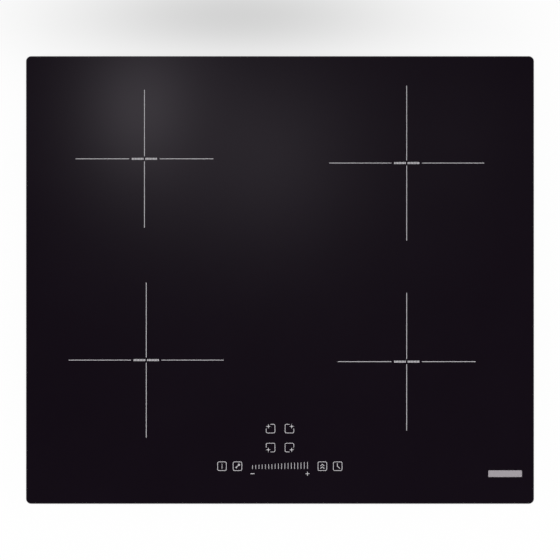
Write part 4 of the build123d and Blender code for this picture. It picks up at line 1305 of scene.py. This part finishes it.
def studio_floor():
    finish = Finish("studio_floor")
    x, y, _ = finish.axes(finish.spot())
    beside = finish.larger(abs(x) - pan_high.x, 0.0)
    before = finish.larger(abs(y) - pan_high.y, 0.0)
    away = (beside * beside + before * before) ** 0.5
    share = finish.fall(away, 0.0, SHADOW_FADE, SHADOW_NEAR, SHADOW_FAR)
    sweep = finish.fall(away, SWEEP_START, SWEEP_START + SWEEP_LENGTH)
    along, deep, _ = finish.axes(finish.spot(centre=PAINTED_SHADE_CENTRE))
    # Painted shade: over this soft patch behind the cooktop, the glow turns from white to grey.
    shade = math.e ** (0 - (along / PAINTED_SHADE_SIZE[0]) ** 2 - (deep / PAINTED_SHADE_SIZE[1]) ** 2)
    white, grey = (finish.node("Emission", None, {"Color": (level, level, level), "Strength": 1.0})
                   for level in (1.0, 1.0 - PAINTED_SHADE_DEPTH))
    glow = finish.node("MixShader", None, {0: shade, 1: white, 2: grey})
    matt = finish.node("BsdfDiffuse", None, {"Color": (MATT_WHITE, MATT_WHITE, MATT_WHITE)})
    lit = finish.node("MixShader", None, {0: seen_directly(finish) * (1 - share * sweep), 1: matt, 2: glow})
    below = finish.node("NewGeometry", output="Backfacing")
    clear = finish.node("BsdfTransparent")
    return finish.show(finish.node("MixShader", None, {0: below, 1: lit, 2: clear}))


clear_selection()
bpy.ops.mesh.primitive_plane_add(size=FLOOR_SIZE, location=(0, 0, -FLOOR_DROP))
floor = bpy.context.object
floor.name = "floor"
paint(floor, studio_floor())
floor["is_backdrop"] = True
print("floor:", FLOOR_SIZE, "m wide")

# %% [markdown]
# ## Studio sky
# Polished black glass shows whatever stands opposite to it. Seen from above, that is the ceiling, so the
# ceiling is dark. Low down the studio is white, which gives metal and the ground edges something bright to
# reflect. The camera itself sees plain white behind the cooktop.

# %% Studio sky
SKY_STOPS = ((0.0, 0.95), (0.10, 0.70), (0.35, 0.25), (0.75, 0.06), (1.0, 0.035))

world = bpy.data.worlds.new("studio")
bpy.context.scene.world = world
world.use_nodes = True
sky = Bench(world.node_tree)
_, _, rise = sky.axes(sky.node("TexCoord", output="Generated"))
shade = sky.node("ValToRGB", {"stops": SKY_STOPS}, {0: rise})
backdrop = sky.node("LightPath", output="Is Camera Ray")
sky.plug(world.node_tree.nodes["Background"].inputs["Color"], sky.mix(backdrop, shade, (1, 1, 1)))
print("sky stops:", SKY_STOPS)

# %% [markdown]
# ## Camera
# The picture is taken from straight above, with the back of the cooktop at the top. The height follows from
# the lens and from the width of glass level that the picture takes in. A long lens keeps the edges of the
# pan hidden under the glass, as they are in a product picture.

# %% Camera
LENS = 85.0
SENSOR = 36.0
VIEW_WIDTH = 650.2 * MM
CAMERA_HEIGHT = VIEW_WIDTH * LENS / SENSOR

clear_selection()
bpy.ops.object.camera_add(location=(0, 0, GLASS_TOP + CAMERA_HEIGHT), rotation=(0, 0, 0))
camera = bpy.context.object
camera.data.lens = LENS
camera.data.sensor_width = SENSOR
bpy.context.scene.camera = camera
print("camera", round(CAMERA_HEIGHT, 3), "m above the glass")

# %% [markdown]
# ## Lamps
# A large lamp in front lights the cooktop and throws a soft shadow to the back, and two weaker ones fill
# the sides. They stand low enough that the glass doesn't mirror them into the camera, and the front one is
# hidden from shiny surfaces, because from behind it would lie on the glass as a white band. The list gives
# each lamp its place in metres, its power in watts, its size, and whether shiny surfaces show it.

# %% Lamps
LAMPS = {
    "front_lamp": ((0.0, -2.4, 2.1), 80.0, 2.2, False),
    "left_lamp": ((-2.0, 0.2, 2.0), 19.0, 1.6, True),
    "right_lamp": ((2.0, 0.2, 2.0), 19.0, 1.6, True),
}


def add_lamp(name, place, power, size, mirrored):
    """Square soft lamp that points at the cooktop, and may or may not show in shiny surfaces."""
    clear_selection()
    aim = (-Vector(place)).to_track_quat("-Z", "Y").to_euler()
    bpy.ops.object.light_add(type="AREA", location=place, rotation=aim)
    lamp = bpy.context.object
    lamp.name = name
    lamp.data.energy = power
    lamp.data.size = size
    lamp.visible_glossy = mirrored


for name, settings in LAMPS.items():
    add_lamp(name, *settings)
print("lamps:", sorted(LAMPS))

# %% [markdown]
# ## Soft cards
# Three dim cards hang overhead, and their mirror images are the soft glow on the back half of the glass.
# Lamps with hard edges would show as bright squares there. A card glows in the middle and is clear at its
# rim. A card is placed from the point of the glass where its image should lie, by the law of reflection.
# The list gives each card that point, the spread of its image, its strength and its height over the glass.

# %% Cards
CARDS = {
    "back_left_card": ((-160 * MM, 200 * MM), (66 * MM, 80 * MM), 0.95, 1.1),
    "middle_card": ((-15 * MM, 150 * MM), (110 * MM, 110 * MM), 0.40, 1.25),
    "right_card": ((210 * MM, 165 * MM), (90 * MM, 90 * MM), 0.09, 1.4),
}
CARD_REACH = 4.0
CARD_TINT = (1.0, 0.93, 1.02)


def card_glow(name, spread, strength):
    """Emission that fades softly from the middle of a card, which is clear towards its rim."""
    finish = Finish(name)
    x, y, _ = finish.axes(finish.spot())
    far = (x / spread[0]) ** 2 + (y / spread[1]) ** 2
    soft = 1 / (1 + 0.5 * far) ** 2
    rim = finish.fall(far, 0.0, CARD_REACH ** 2)
    glow = finish.node("Emission", None, {"Color": CARD_TINT, "Strength": strength})
    clear = finish.node("BsdfTransparent")
    return finish.show(finish.node("MixShader", None, {0: soft * rim, 1: clear, 2: glow}))


def add_card(name, image, spread, strength, height):
    """Soft card whose mirror image lies about a point of the glass."""
    grow = 1 + height / CAMERA_HEIGHT
    spread = [grow * size for size in spread]
    place = (grow * image[0], grow * image[1], GLASS_TOP + height)
    clear_selection()
    bpy.ops.mesh.primitive_plane_add(size=2 * CARD_REACH * max(spread), location=place)
    card = bpy.context.object
    card.name = name
    paint(card, card_glow(name, spread, strength))
    card.visible_camera = False
    card.visible_shadow = False
    card.visible_diffuse = False
    card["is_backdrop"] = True


for name, settings in CARDS.items():
    add_card(name, *settings)
print("cards:", sorted(CARDS))

# %% [markdown]
# ## Proof of size
# The box of the dressed cooktop is compared with the box of the model, and how much it grew is printed. The
# view transform is Standard, so a colour renders as it is written.

# %% Check the size and set the view transform
bpy.context.scene.view_settings.view_transform = "Standard"
dressed_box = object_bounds()
print("grown by", in_mm(new - old for new, old in zip(dressed_box[1], cad_box[1])), "mm")
